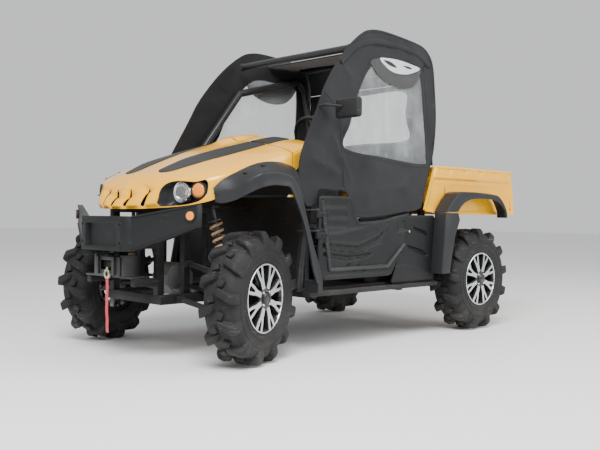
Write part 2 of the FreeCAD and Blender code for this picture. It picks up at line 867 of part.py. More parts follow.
def seats():
    floor_top = number(size.floor_z) + number(size.skin) + 6
    base = Part.makeBox(
        SEAT_FRONT - SEAT_REAR - 60, 2 * SEAT_OUTER - 20, SEAT_TOP - 130 - floor_top,
        Vector(SEAT_REAR + 20, -SEAT_OUTER + 10, floor_top),
    )
    tunnel = Part.makeBox(400, 140.6, 131, Vector(-1, -70.3, floor_top))
    piece(form("SeatBase", base.cut(tunnel)), "seat_base")
    cushions = []
    backs = []
    for side in LEFT_AND_RIGHT:
        inner, outer = sorted((side * SEAT_INNER, side * SEAT_OUTER))
        cushions.append(side_plate(
            [(SEAT_REAR, SEAT_TOP - 129.7), (SEAT_FRONT, SEAT_TOP - 129.7), (SEAT_FRONT + 12, SEAT_TOP + 15),
             (SEAT_REAR, SEAT_TOP - 15)],
            inner, outer, 26,
        ))
        backs.append(side_plate(
            [
                (SEAT_REAR - 0.3, SEAT_TOP - 90), (SEAT_REAR - 0.3, SEAT_TOP - 5),
                (SEAT_REAR + 18, SEAT_TOP + 15), (-470, 1240), (-555, 1240), (-500, SEAT_TOP - 90),
            ],
            inner + 20, outer - 20, 18,
        ))
    piece(form("SeatCushions", group(cushions)), "seat_cushions")
    piece(form("SeatBacks", group(backs)), "seat_backs")


# Masses: engine, drives, exhaust


def masses():
    rail_top = size.rail_bottom + size.rail_height
    piece(box(
        "Engine",
        (size.engine_x - size.engine_long / 2, size.engine_x + size.engine_long / 2),
        (-size.engine_wide / 2, size.engine_wide / 2),
        (rail_top, rail_top + size.engine_high),
    ), "engine")
    solids = []
    for axle in (size.kingpin_x, size.rear_axle_x):
        solids.append(prism(
            "Drive",
            size.drive_radius,
            "Y",
            (axle, -size.drive_half, size.tyre_radius + 60),
            2 * size.drive_half,
            10,
        ))
        for start in (axle - size.drive_foot - 20, axle + 20):
            solids.append(box(
                "DriveFoot",
                (start, start + size.drive_foot),
                (-size.rail_y - 15, size.rail_y + 15),
                (rail_top + size.running_gap, rail_top + 12),
            ))
    piece(fuse("FinalDrives", *solids), "final_drives")
    middle = size.rail_rear + size.post_width / 2
    silencer = [prism(
        "Silencer",
        size.silencer_radius,
        "Y",
        (middle, -size.silencer_half, size.silencer_z),
        2 * size.silencer_half,
        10,
    )]
    for across in (as_size(-100), as_size(90)):
        hanger_top = size.rear_top - size.post_width - size.running_gap
        silencer.append(box(
            "Hanger",
            (middle - 15, middle + 15),
            (across, across + 10),
            (size.silencer_z + size.silencer_radius - 5, hanger_top),
        ))
    piece(fuse("Exhaust", *silencer), "exhaust")


# Running gear


def front_ball(side):
    return point(size.kingpin_x, side * size.ball_y, 0)


def arm_set(axle, side, turns):
    """The lower and the upper arm on one side of one axle."""
    axle = number(axle)
    ball_y = number(size.ball_y)
    rail_face = number(size.rail_y) + number(size.rail_width) / 2
    post_face = number(size.post_y) + number(size.post_width) / 2
    pivot = number(size.pivot_radius)
    gap = number(size.running_gap)
    boss = number(size.ball_height)
    lower_half = number(size.lower_half)
    arm_half = number(size.arm_half)
    rail_middle = number(size.rail_bottom) + 25
    solids = []
    # Arm table: pivot y, pivot z, leg at the pivot, leg at the ball, bend y, boss underside
    arms = (
        (rail_face + pivot + gap, rail_middle, lower_half, 26, ball_y - 40, size.lower_ball),
        (post_face + pivot + gap, size.upper_pivot_z, arm_half, arm_half - 6, ball_y - 62, size.upper_ball),
    )
    for pivot_y, pivot_z, wide, narrow, bend_y, under in arms:
        middle = number(under) + boss / 2
        ball = Vector(axle, side * ball_y, middle)
        for end in FRONT_AND_REAR:
            start = Vector(axle + end * wide, side * pivot_y, number(pivot_z))
            bend = Vector(axle + end * narrow, side * bend_y, middle)
            solids.append(tube([start, bend, ball], size.arm_radius - 1, flats=4))
            half_barrel = Vector(22, 0, 0)
            solids.append(tube([start - half_barrel, start + half_barrel], pivot, flats=6))
        half_boss = Vector(0, 0, boss / 2)
        solids.append(tube([ball - half_boss, ball + half_boss], size.ball_radius))
    whole = solids[0].multiFuse(solids[1:])
    low = Vector(axle, side * ball_y, number(size.lower_ball) - 40)
    high = Vector(axle, side * ball_y, number(size.upper_ball) + 80)
    return whole.cut(tube([low, high], size.ball_pin + gap, flats=8 if turns else 6))


def upright(side, axle, turns):
    """The upright, its two ball pins and the stub axle, at the straight ahead position."""
    axle = number(axle)
    ball_y = side * number(size.ball_y)
    low = number(size.lower_ball) + number(size.ball_height) + 5
    high = number(size.upper_ball) - 5
    wheel_z = number(size.tyre_radius)
    block = Part.makeBox(52, 34, high - low, Vector(axle - 26, ball_y - 17, low))
    foot = Vector(axle, ball_y, number(size.lower_ball))
    middle = Vector(axle, ball_y, wheel_z)
    head = Vector(axle, ball_y, number(size.upper_ball) + number(size.ball_height))
    # A front upright turns on its pins, so the lower one is round and the upper one fits inside
    if turns:
        pins = [hinge_pin(foot, middle, size.ball_pin, True), hinge_pin(middle, head, size.ball_pin, False)]
    else:
        pins = [tube([foot, head], size.ball_pin, flats=6)]
    reach = number(size.kingpin_inset) + number(size.spindle_reach)
    stub_line = [Vector(axle, ball_y + side * out, wheel_z) for out in (0, reach)]
    stub = bar(*stub_line, size.spindle_radius)
    hub_line = [Vector(axle, ball_y + side * out, wheel_z) for out in (17, 41)]
    collar = tube(hub_line, 46)
    return block.multiFuse(pins + [stub, collar])


def suspension():
    front = [arm_set(size.kingpin_x, side, True) for side in LEFT_AND_RIGHT]
    piece(form("FrontArms", group(front)), "front_arms")
    carriers = [upright(side, size.rear_axle_x, False) for side in LEFT_AND_RIGHT]
    rear = [arm_set(size.rear_axle_x, side, False) for side in LEFT_AND_RIGHT]
    piece(form("RearArms", group(rear)), "rear_arms")
    piece(form("RearCarriers", group(carriers)), "rear_carriers")
    for side, label in ((LEFT, "knuckle_left"), (RIGHT, "knuckle_right")):
        ball = front_ball(side)
        high = number(size.rod_z) - number(size.rod_radius) - 3
        eye = ball + Vector(-number(size.arm_reach), 0, high - 12)
        steering_arm = Part.makeBox(number(size.arm_reach) - 26, 24, 12, eye - Vector(0, 12, 0))
        steering_arm = steering_arm.fuse(tube([eye, eye + Vector(0, 0, 12)], 15))
        knuckle = upright(side, size.kingpin_x, True).fuse(steering_arm).removeSplitter()
        knuckle.rotate(ball, Vector(0, 0, 1), number(size.steer_rest))
        piece(form(label.title().replace("_", ""), knuckle), label)


def shock(low, high):
    """A damper with its two spring seats and the eye at its lower end."""
    run = high - low
    along = Vector(run).normalize()
    seats = []
    for start in (0.18, 0.86):
        foot = low + run * start
        seats.append(tube([foot, foot + along * 8], size.shock_radius))
    rod = tube([low, high], size.damper_radius - 7, flats=4)
    damper = tube([low + along * 30, low + run * 0.55], size.damper_radius, flats=6)
    eye = tube([low - along * 6, low + along * 20], 20, flats=6)
    return rod.multiFuse([damper, eye] + seats)


def shocks():
    """Two front and two rear units, each from its lower arm to its tower."""
    foot_y = number(size.ball_y) - 89.5
    head_y = foot_y - 80
    # Shock table: label, axle, top of the tower
    rows = (
        ("front_shocks", size.kingpin_x, size.front_top),
        ("rear_shocks", size.rear_axle_x, size.rear_top),
    )
    for label, axle, tower in rows:
        units = []
        for side in LEFT_AND_RIGHT:
            low = point(axle - 50, side * foot_y, size.rail_bottom + 28)
            high = point(axle + 18, side * head_y, tower - 16)
            units.append(shock(low, high))
        piece(form(label.title().replace("_", ""), group(units)), label)


def half_shafts():
    """Shafts from the final drives to the wheels."""
    solids = []
    for axle in (number(size.kingpin_x), number(size.rear_axle_x)):
        for side in LEFT_AND_RIGHT:
            start = point(axle, side * (number(size.drive_half) + 1.6), size.tyre_radius + 30)
            end = point(axle, side * (number(size.ball_y) - 34), size.tyre_radius)
            solids.append(tube([start, end], 12, flats=6))
    piece(form("HalfShafts", group(solids)), "half_shafts")


def tie_rods():
    """Rack bar and tie rods in one line, its eyes over the steering arms."""
    turn = math.radians(number(size.steer_rest))
    reach = number(size.arm_reach)
    ball_y = number(size.ball_y)
    x = number(size.kingpin_x) - reach * math.cos(turn)
    shift = -reach * math.sin(turn)
    left = Vector(x, ball_y + shift, number(size.rod_z))
    right = Vector(x, -ball_y + shift, number(size.rod_z))
    rod = tube([left, right], size.rod_radius)
    rise = Vector(0, 0, number(size.rod_radius) + 1)
    eyes = [tube([end - rise, end + rise], 14) for end in (left, right)]
    piece(form("TieRods", rod.multiFuse(eyes)), "tie_rods")


# Wheels


def wheels():
    """Tyres and rims: the front pair is turned with the steering."""
    half_track = number(size.half_track)
    inset = number(size.kingpin_inset)
    turn = number(size.steer_rest)
    height = number(size.tyre_radius)
    tyre_solid = tyre_shape()
    rim_solid = rim_shape()
    for side, hand in ((LEFT, "left"), (RIGHT, "right")):
        facing = Rotation(Vector(0, 0, 1), 0 if side == LEFT else 180)
        ball = front_ball(side)
        steer = Rotation(Vector(0, 0, 1), turn)
        centre = ball + steer.multVec(Vector(0, side * inset, 0)) + Vector(0, 0, height)
        # Wheel table: which end, centre, turn
        rows = (
            ("front", centre, steer * facing),
            ("rear", point(size.rear_axle_x, side * half_track, height), facing),
        )
        for end, middle, pose in rows:
            for kind, solid in (("tyre", tyre_solid), ("rim", rim_solid)):
                label = f"{kind}_{end}_{hand}"
                whole = form(label.title().replace("_", ""), solid)
                whole.Placement = Placement(middle, pose)
                piece(whole, label)


def tyre_shape():
    """Carcass about the axle, with two rows of slanted lugs that wrap the shoulders."""
    carcass = number(size.tyre_radius) - number(size.lug_height)
    top = number(size.tyre_radius)
    half = number(size.tyre_width) / 2
    bead = number(size.bead_radius)
    across = [(half - 14, bead), (half - 4, bead + 55), (half - 30, carcass)]
    ring = turned(across + [(-y, r) for y, r in across[::-1]])
    lug_line = [
        (6, carcass - 12), (6, top), (half - 16, top - 2), (half, top - 44), (half - 22, carcass - 40),
    ]
    pitch = 360 / number(size.lug_pitches)
    long = number(size.lug_length)
    lugs = []
    for side in LEFT_AND_RIGHT:
        corners = [Vector(-long / 2, side * y, r) for y, r in lug_line]
        lug = Part.Face(Part.makePolygon(corners + [corners[0]])).extrude(Vector(long, 0, 0))
        lug.rotate(Vector(0, 0, 0), Vector(0, 0, 1), side * number(size.lug_slant))
        start = 0 if side == LEFT else pitch / 2
        for index in range(round(number(size.lug_pitches))):
            lugs.append(lug.rotated(Vector(0, 0, 0), Vector(0, 1, 0), start + index * pitch))
    return ring.multiFuse(lugs)


def rim_shape():
    """Barrel, hub and eight split spokes; +Y is the outer side."""
    outside = number(size.bead_radius) - number(size.running_gap)
    inside = outside - number(size.rim_wall)
    half = number(size.rim_width) / 2
    face = number(size.spoke_face)
    depth = number(size.spoke_depth)
    hub = number(size.hub_radius)
    axis = Vector(0, 1, 0)
    barrel = turned([
        (-half, inside), (-half, outside), (half, outside), (half + 10, outside + 5), (half + 10, inside - 3),
    ])
    centre = tube([Vector(0, 6, 0), Vector(0, face, 0)], hub)
    bore_line = [Vector(0, -3, 0), Vector(0, number(size.spindle_reach) + 3, 0)]
    bore = tube(bore_line, size.spindle_radius + size.running_gap)
    width = number(size.spoke_width)
    slot = number(size.spoke_gap) / 2
    edge = slot + width
    reach = inside + 3
    fork = hub + (inside - hub) * 0.42
    spoke = [
        (hub - 8, -width), (reach, -edge), (reach, -slot), (fork, -slot),
        (fork, slot), (reach, slot), (reach, edge), (hub - 8, width),
    ]
    spokes = []
    for index in range(8):
        plate = side_plate([(w, r) for r, w in spoke], face - depth, face)
        plate.rotate(Vector(0, 0, 0), axis, (index + 0.5) * 45)
        spokes.append(plate)
    return barrel.multiFuse([centre] + spokes).cut(bore)


# Doors


DOOR_OUTLINE = [
    (575, 440), (520, 404), (-62, 404), (-170, 560), (-243, 782),
    (15, 739), (232, 727), (300, 872), (575, 872),
]


def door(side, label):
    """A moulded half door on a tube frame, with hinge barrels at its front edge."""
    outer = number(size.side_y)
    inner = outer - number(size.door_skin)
    low, high = sorted((side * inner, side * outer))
    panel = side_plate(DOOR_OUTLINE, low, high, 22)
    middle = side * (inner + outer) / 2
    frame_line = [
        Vector(550, middle, 860), Vector(550, middle, 395),
        Vector(-66, middle, 395), Vector(-186, middle, 590),
    ]
    frame = tube(frame_line, size.door_tube, (60, 60), flats=6)
    barrels = []
    for height in HINGE_HEIGHTS:
        axis = point(size.hinge_x, side * size.hinge_y, height)
        barrels.append(tube([axis, axis + Vector(0, 0, HINGE_BARREL)], 12))
        strap_low, strap_high = sorted((side * inner, side * (inner + 10)))
        barrels.append(Part.makeBox(
            40, strap_high - strap_low, HINGE_BARREL, Vector(number(size.hinge_x) - 40, strap_low, height),
        ))
    whole = panel.multiFuse([frame] + barrels)
    for height in HINGE_HEIGHTS:
        axis = point(size.hinge_x, side * size.hinge_y, height - 1)
        bore_line = [axis, axis + Vector(0, 0, HINGE_BARREL + 2)]
        whole = whole.cut(tube(bore_line, size.hinge_pin + size.running_gap))
    piece(form(label.title().replace("_", ""), whole), label)


# Fabric doors and clear windows: outlines are (x, z), laid flat, then leaned in

SOFT_OUTLINE = [
    (687, 1008), (657, 1118), (523, 1361), (449, 1499), (338, 1645), (226, 1761), (110, 1850), (20, 1892),
    (-120, 1905), (-400, 1885), (-520, 1862), (-585, 1810), (-613, 1740), (-618, 1594), (-612, 1395),
    (-570, 1195), (-518, 1078), (-422, 866), (-372, 805), (15, 756), (240, 752), (318, 900), (545, 900),
    (560, 830), (640, 810), (688, 900),
]
WINDOW_OUTLINE = [
    (310, 1150), (250, 1300), (170, 1480), (60, 1640), (-60, 1720), (-430, 1700), (-470, 1640), (-480, 1150),
    (-440, 1085),
]


REAR_WINDOW = [(-380, 1260), (380, 1260), (350, 1620), (-350, 1620)]


def soft_face():
    """The soft door's outer face at the belt, where it lies on the cage."""
    cage_face = number(size.cage_low_y) + number(size.cage_radius)
    return cage_face + number(size.running_gap) + number(size.soft_wall)


def leaned(solid, side):
    """A flat side panel leaned in, to lie on the cage at the belt and at the roof."""
    lean_in = number(size.cage_low_y) - number(size.cage_high_y)
    lean_up = number(size.roof_z) - number(size.belt_z)
    pivot = Vector(0, side * (soft_face() - number(size.soft_wall)), number(size.belt_z))
    solid.rotate(pivot, Vector(1, 0, 0), side * math.degrees(math.atan2(lean_in, lean_up)))
    return solid


def soft_doors():
    outer = soft_face()
    wall = number(size.soft_wall)
    panes = []
    for side, label in ((LEFT, "soft_door_left"), (RIGHT, "soft_door_right")):
        low, high = sorted((side * (outer - wall), side * outer))
        panel = side_plate(SOFT_OUTLINE, low, high)
        hole = side_plate(WINDOW_OUTLINE, low - 1, high + 1, 18)
        piece(form(label.title().replace("_", ""), leaned(panel.cut(hole), side)), label)
        near, far = sorted((side * (outer - wall + 3), side * (outer - 3)))
        panes.append(leaned(side_plate(WINDOW_OUTLINE, near, far, 18), side))
    rear = number(size.cage_rear_x) - number(size.cage_radius) - 1
    panes.append(front_plate(REAR_WINDOW, rear - 4, rear - 2, 18))
    piece(form("Windows", group(panes)), "windows")


def roof_cover():
    """The fabric roof and the curtain behind the seats."""
    hoop = [(corner.x, corner.z) for corner in hoop_points(LEFT)[2:6]]
    start = -160
    slope = (hoop[0][1] - hoop[1][1]) / (hoop[0][0] - hoop[1][0])
    bottom = number(size.belt_z)
    rear = number(size.cage_rear_x)
    line = [(start, hoop[1][1] + (start - hoop[1][0]) * slope), hoop[1], hoop[2], (rear, hoop[2][1] - 40)]
    under = inset_line(line, number(size.cage_radius) + 2 * number(size.running_gap))
    half = number(size.cage_high_y) + 20
    piece(form("RoofCover", side_plate(skin_line(under, 5), -half, half)), "roof_cover")
    low, high = bottom - 2, hoop[2][1] - 41
    back = rear - number(size.cage_radius) - 2 * number(size.running_gap)
    curtain = front_plate(
        [(-half - 30, low), (half + 30, low), (half, high), (-half, high)], back - 5, back,
    )
    window = front_plate(REAR_WINDOW, rear - 60, rear, 18)
    piece(form("RearCurtain", curtain.cut(window)), "rear_curtain")


# Hood

# Hood sections: x, half width, side low z, side top z, crown z, rise of the scoop
HOOD_SECTIONS = (
    (684, 566, 975, 1108, 1192, 21),
    (765, 575, 959, 1088, 1168, 0),
    (1050, 580, 900, 1010, 1075, 0),
    (1150, 550, 862, 975, 1036, 0),
    (1225, 500, 828, 950, 1005, 0),
    (1290, 390, 806, 938, 980, 0),
    (1360, 290, 795, 908, 952, 0),
    (1400, 190, 790, 882, 930, 0),
    (1430, 70, 788, 855, 905, 0),
)
# Corners of a section's curved top, as parts of its half width
SECTION_STEPS = (1, 0.75, 0.45, 0.17, 0.1, -0.1, -0.17, -0.45, -0.75, -1)
INNER_STEPS = (1, 0.75, 0.45, 0, -0.45, -0.75, -1)
# The scoop rises between these corners
SCOOP_HALF = 0.12


def hood_section(x, half, low, edge, crown, rise, inset=0.0):
    """One section's corners, from its left foot over the top to its right foot."""
    half = half - inset
    low = low - (1 if inset else 0)
    corners = [Vector(x, half, low)]
    for step in INNER_STEPS if inset else SECTION_STEPS:
        lift = rise if abs(step) < SCOOP_HALF and not inset else 0
        corners.append(Vector(x, half * step, crown - inset - (crown - edge) * step * step + lift))
    return corners + [Vector(x, -half, low)]


def hood_shell(sections, front_wall, open_rear):
    """A thin shell over the sections, open underneath and behind."""
    wall = number(size.hood_wall)
    outer = skin_over([hood_section(*row) for row in sections])
    rows = [list(row) for row in sections]
    rows[0][0] -= open_rear
    rows[-1][0] += 5 if front_wall == 0 else -front_wall
    return outer.cut(skin_over([hood_section(*row, inset=wall) for row in rows]))


# Lamps in one headlamp group: name, x, y, height above the clear lamp, radius, turn out from straight ahead
LAMPS = (
    ("clear", 1290, 365, 0, size.lamp_radius, 8),
    ("amber", 1250, 456, 9, size.amber_radius, 18),
)
# Opening for one lamp group in the fascia: y, z
LAMP_OPENING = [
    (284, 802), (284, 868), (308, 910), (350, 930), (500, 940), (502, 890), (482, 842), (400, 814),
]
# Line of the fascia seen from above, just inside the hood: x, y
FASCIA_LINE = [(1360, 284), (1356, 291), (1286, 391), (1221, 502)]
# Slots of the grille: middle y, front x, bottom z, top z
GRILLE_SLOTS = ((62, 1440, 812, 868), (187, 1425, 812, 866))
SLOT_WIDTH = 24
SLOT_LEAN = 4


def shrunk(points, factor):
    """A closed outline drawn nearer to its own middle."""
    middle_x = sum(x for x, z in points) / len(points)
    middle_z = sum(z for x, z in points) / len(points)
    return [(middle_x + (x - middle_x) * factor, middle_z + (z - middle_z) * factor) for x, z in points]


def fascia_band(side, front, back):
    """The space between two depths behind the fascia, over its whole height."""
    near = [(x - front, side * y) for x, y in FASCIA_LINE]
    far = [(x - back, side * y) for x, y in FASCIA_LINE[::-1]]
    return plan_plate(near + far, 700, 1100)


def lamp_group(side):
    """The bezel of one side, a tray behind the opening, and the two lamps on its floor."""
    depth = number(size.bezel_depth)
    wall = number(size.bezel_wall)
    gap = number(size.running_gap)
    opening = [(side * y, z) for y, z in LAMP_OPENING]
    tray = front_plate(shrunk(opening, 0.995), 1100, 1450).common(fascia_band(side, 0, depth))
    hollow = front_plate(shrunk(opening, 0.92), 1100, 1450).common(fascia_band(side, -30, depth - wall))
    lamps = {}
    taken = None
    for name, x, y, up, radius, turn in LAMPS:
        angle = math.radians(turn)
        axis = Vector(math.cos(angle), side * math.sin(angle), 0)
        centre = Vector(x, side * y, number(size.lamp_z) + up)
        lamp = tube([centre - axis * 90, centre + axis * 6], radius, flats=10)
        lamp = lamp.common(fascia_band(side, -40, depth - wall - gap))
        if taken:
            lamp = lamp.cut(taken)
        taken = tube([centre - axis * 95, centre + axis * 60], radius + gap, flats=10)
        lamps[name] = lamp.common(front_plate(shrunk(opening, 0.915), 1100, 1450))
    return tray.cut(hollow), lamps


def hood():
    wall = number(size.hood_wall)
    shell = hood_shell(HOOD_SECTIONS, wall, 5)
    bezels = []
    clear = []
    amber = []
    for side in LEFT_AND_RIGHT:
        shell = shell.cut(front_plate([(side * y, z) for y, z in LAMP_OPENING], 1100, 1450))
        bezel, lamps = lamp_group(side)
        bezels.append(bezel)
        clear.append(lamps["clear"])
        amber.append(lamps["amber"])
        for y, front, low, high in GRILLE_SLOTS:
            start = side * y - SLOT_WIDTH / 2
            end = start + SLOT_WIDTH
            lean = side * SLOT_LEAN
            slot_line = [(start, low), (end, low), (end - lean, high), (start - lean, high)]
            shell = shell.cut(front_plate(slot_line, front - 70, front))
    pivot_x = number(size.hood_pivot_x)
    pivot_z = number(size.hood_pivot_z)
    web_line = [
        (pivot_x - 8, pivot_z - 8), (pivot_x + 8, pivot_z - 8), (pivot_x + 34, pivot_z - 5),
        (pivot_x + 34, pivot_z + 55), (pivot_x + 15, pivot_z + 55), (pivot_x - 8, pivot_z + 8),
    ]
    hinges = []
    for side in LEFT_AND_RIGHT:
        hinges.append(side_plate(web_line, *sorted((side * 96, side * 104))))
        near, far = [Vector(pivot_x, side * y, pivot_z) for y in (100, 136)]
        hinges.append(hinge_pin(near, far, size.hood_pin, side == LEFT))
    piece(form("Hood", shell.multiFuse(hinges)), "hood")
    piece(form("LampBezels", group(bezels)), "lamp_bezels")
    piece(form("Headlamps", group(clear)), "headlamps")
    piece(form("AmberLamps", group(amber)), "amber_lamps")


# Front flare, from its front tip over the wheel to its rear foot.
# Each section: inner top x, y, z; shoulder x, y, z; lower edge x, y, z
FLARE_SECTIONS = (
    ((1213, 532, 895), (1210, 542, 872), (1203, 545, 828)),
    ((1177, 553, 935), (1185, 575, 885), (1184, 572, 822)),
    ((1092, 582, 985), (1103, 691, 947), (1104, 690, 873)),
    ((1017, 592, 1018), (1055, 732, 978), (1052, 728, 902)),
    ((933, 594, 1040), (980, 735, 991), (975, 735, 916)),
    ((765, 590, 1040), (850, 735, 969), (862, 735, 906)),
    ((712, 625, 1005), (812, 735, 925), (828, 735, 855)),
    ((735, 690, 895), (775, 735, 862), (790, 735, 785)),
    ((728, 695, 765), (741, 735, 765), (752, 735, 700)),
    ((690, 695, 633), (694, 735, 633), (712, 735, 572)),
    ((638, 695, 498), (640, 735, 498), (686, 735, 473)),
    ((606, 695, 398), (606, 735, 398), (655, 735, 398)),
)


def front_flare(side, label):
    """A shell over the wheel: a top that runs out from the hood and a face that turns down."""
    wall = number(size.flare_wall)
    out = number(size.flare_y) - max(section[1][1] for section in FLARE_SECTIONS)
    middle = Vector(number(size.kingpin_x) - 66, 0, number(size.tyre_radius))
    rings = []
    for section in FLARE_SECTIONS:
        top, shoulder, lower = [Vector(x, side * (y + out), z) for x, y, z in section]
        inward = middle - Vector(shoulder.x, 0, shoulder.z)
        inward = inward.normalize() * wall
        across = Vector(0, side * wall, 0)
        rings.append([top, shoulder, lower, lower - across, shoulder + inward - across, top + inward])
    seat = number(size.rocker_top) + number(size.running_gap)
    foot = side_plate([(610, seat), (646, seat), (650, 412), (612, 412)],
                      *sorted((side * 630, side * number(size.flare_y))))
    piece(form(label.title().replace("_", ""), skin_over(rings, thin=True).fuse(foot)), label)


# Rear flare over the wheel, the upper part on the bed, the leg on the cab side
REAR_FLARE_TOP = [
    (-1300, 756), (-1288, 812), (-1220, 890), (-1110, 926), (-720, 926), (-620, 885), (-530, 792),
]
REAR_FLARE_ARCH = [
    (-1262, 756), (-1245, 800), (-1190, 850), (-1090, 880), (-860, 880), (-740, 850), (-668, 792),
]
# Front edge of the rear leg: x, z
REAR_LEG_FRONT = [(-584, 396), (-492, 396), (-535, 786), (-672, 786)]
# Rear edge, round the tyre: angle above the axle, clearance off the tyre
REAR_LEG_ARCH = ((55.9, 139), (43, 95), (13.4, 41.6))


def rear_flares():
    outer = number(size.flare_y)
    wall = number(size.flare_wall)
    inner = number(size.bed_half) + number(size.running_gap)
    uppers = []
    legs = []
    panel_face = number(size.panel_y) + number(size.running_gap)
    axle = number(size.rear_axle_x)
    height = number(size.tyre_radius)
    leg_line = list(REAR_LEG_FRONT)
    for angle, clear in REAR_LEG_ARCH:
        along = math.radians(angle)
        reach = height + clear
        leg_line.append((axle + reach * math.cos(along), height + reach * math.sin(along)))
    for side in LEFT_AND_RIGHT:
        low, high = sorted((side * (outer - wall), side * outer))
        near, far = sorted((side * inner, side * outer))
        face = side_plate(REAR_FLARE_TOP + REAR_FLARE_ARCH[::-1], low, high)
        skin = side_plate(skin_line(REAR_FLARE_TOP, wall), near, far)
        uppers.append(face.fuse(skin))
        leg_low, leg_high = sorted((side * panel_face, side * outer))
        legs.append(side_plate(leg_line, leg_low, leg_high))
    piece(form("BedFlares", group(uppers)), "bed_flares")
    piece(form("RearFlareLegs", group(legs)), "rear_flare_legs")


SIDE_PANEL = [(-95, 345), (-540, 345), (-540, 770), (-262, 770)]


def cab_sides():
    """Rockers under the floor's edge and the closed panels behind the doors."""
    rockers = []
    panels = []
    top = number(size.rocker_top)
    gap = number(size.running_gap)
    line = [(x, top + gap if z == SIDE_PANEL[0][1] else z) for x, z in SIDE_PANEL]
    front = number(size.cage_front_x) - 2
    rear = number(size.cage_rear_x) + 20
    rocker_line = [(front - 18, top - 27), (front, top), (rear, top), (rear + 10, top - 27)]
    for side in LEFT_AND_RIGHT:
        low, high = sorted((side * (number(size.cab_half) + gap), side * (number(size.side_y) - 2)))
        rockers.append(side_plate(rocker_line, low, high))
        inner_face = number(size.panel_y) - number(size.panel_wall)
        near, far = sorted((side * inner_face, side * number(size.panel_y)))
        panels.append(side_plate(line, near, far, 16))
    piece(form("Rockers", group(rockers)), "rockers")
    piece(form("SidePanels", group(panels)), "side_panels")


# Bed


def bed():
    """An open tray with side wings that reach forward past the cab's rear posts."""
    half = number(size.bed_half)
    wall = number(size.bed_wall)
    low = number(size.bed_floor)
    high = number(size.bed_top)
    front = number(size.bed_front)
    rear = number(size.bed_rear)
    gate_x = number(size.gate_x)
    gate_wall = number(size.gate_wall)
    gate_half = number(size.gate_half)
    gate_z = number(size.gate_pivot_z)
    gap = number(size.running_gap)
    pivot = point(size.bed_pivot_x, 0, size.bed_pivot_z)
    lug_y = number(size.rail_y) + 3
    side_outline = [(-546, high), (-434, low + 28), (-660, low), (rear, low), (rear + 50, high)]
    floor_rear = gate_x + gate_wall / 2 + 4
    inner = half - wall
    solids = [
        Part.makeBox(front - floor_rear, 2 * inner, wall + 2, Vector(floor_rear, -inner, low)),
        Part.makeBox(wall, 2 * inner, high - low, Vector(front - wall, -inner, low)),
    ]
    lamps = []
    for side in LEFT_AND_RIGHT:
        solids.append(side_plate(side_outline, *sorted((side * inner, side * half))))
        post_inner = gate_half + number(size.gate_gap)
        post_low, post_high = sorted((side * post_inner, side * inner))
        solids.append(Part.makeBox(
            gate_wall, post_high - post_low, high - low, Vector(gate_x - gate_wall / 2, post_low, low),
        ))
        lug_low, lug_high = sorted((side * lug_y, side * (lug_y + 12)))
        solids.append(Part.makeBox(
            30, lug_high - lug_low, low - pivot.z + 10, Vector(pivot.x - 15, lug_low, pivot.z - 10),
        ))
        pin_end = pivot + Vector(0, side * (number(size.post_y) - 25), 0)
        pin_root = pivot + Vector(0, side * (lug_y + 6), 0)
        solids.append(hinge_pin(pin_end, pin_root, size.bed_pin, side == LEFT))
        lamp_low, lamp_high = sorted((side * (post_inner + 15), side * (post_inner + 75)))
        lamps.append(Part.makeBox(
            16, lamp_high - lamp_low, 90, Vector(gate_x - gate_wall / 2 - gap - 16, lamp_low, low + 60),
        ))
    whole = solids[0].multiFuse(solids[1:])
    bore_half = gate_half + 30
    bore_line = [Vector(gate_x, -bore_half, gate_z), Vector(gate_x, bore_half, gate_z)]
    piece(form("Bed", whole.cut(tube(bore_line, size.gate_pin + size.running_gap))), "bed")
    gate = Part.makeBox(
        gate_wall, 2 * gate_half, high - low - 21, Vector(gate_x - gate_wall / 2, -gate_half, low + 21),
    )
    stubs = []
    for side in LEFT_AND_RIGHT:
        root, end = [Vector(gate_x, side * (gate_half + out), gate_z) for out in (-4, 25)]
        stubs.append(hinge_pin(root, end, size.gate_pin, side == LEFT))
    piece(form("Tailgate", gate.multiFuse(stubs)), "tailgate")
    piece(form("TailLamps", group(lamps)), "tail_lamps")


# Front end


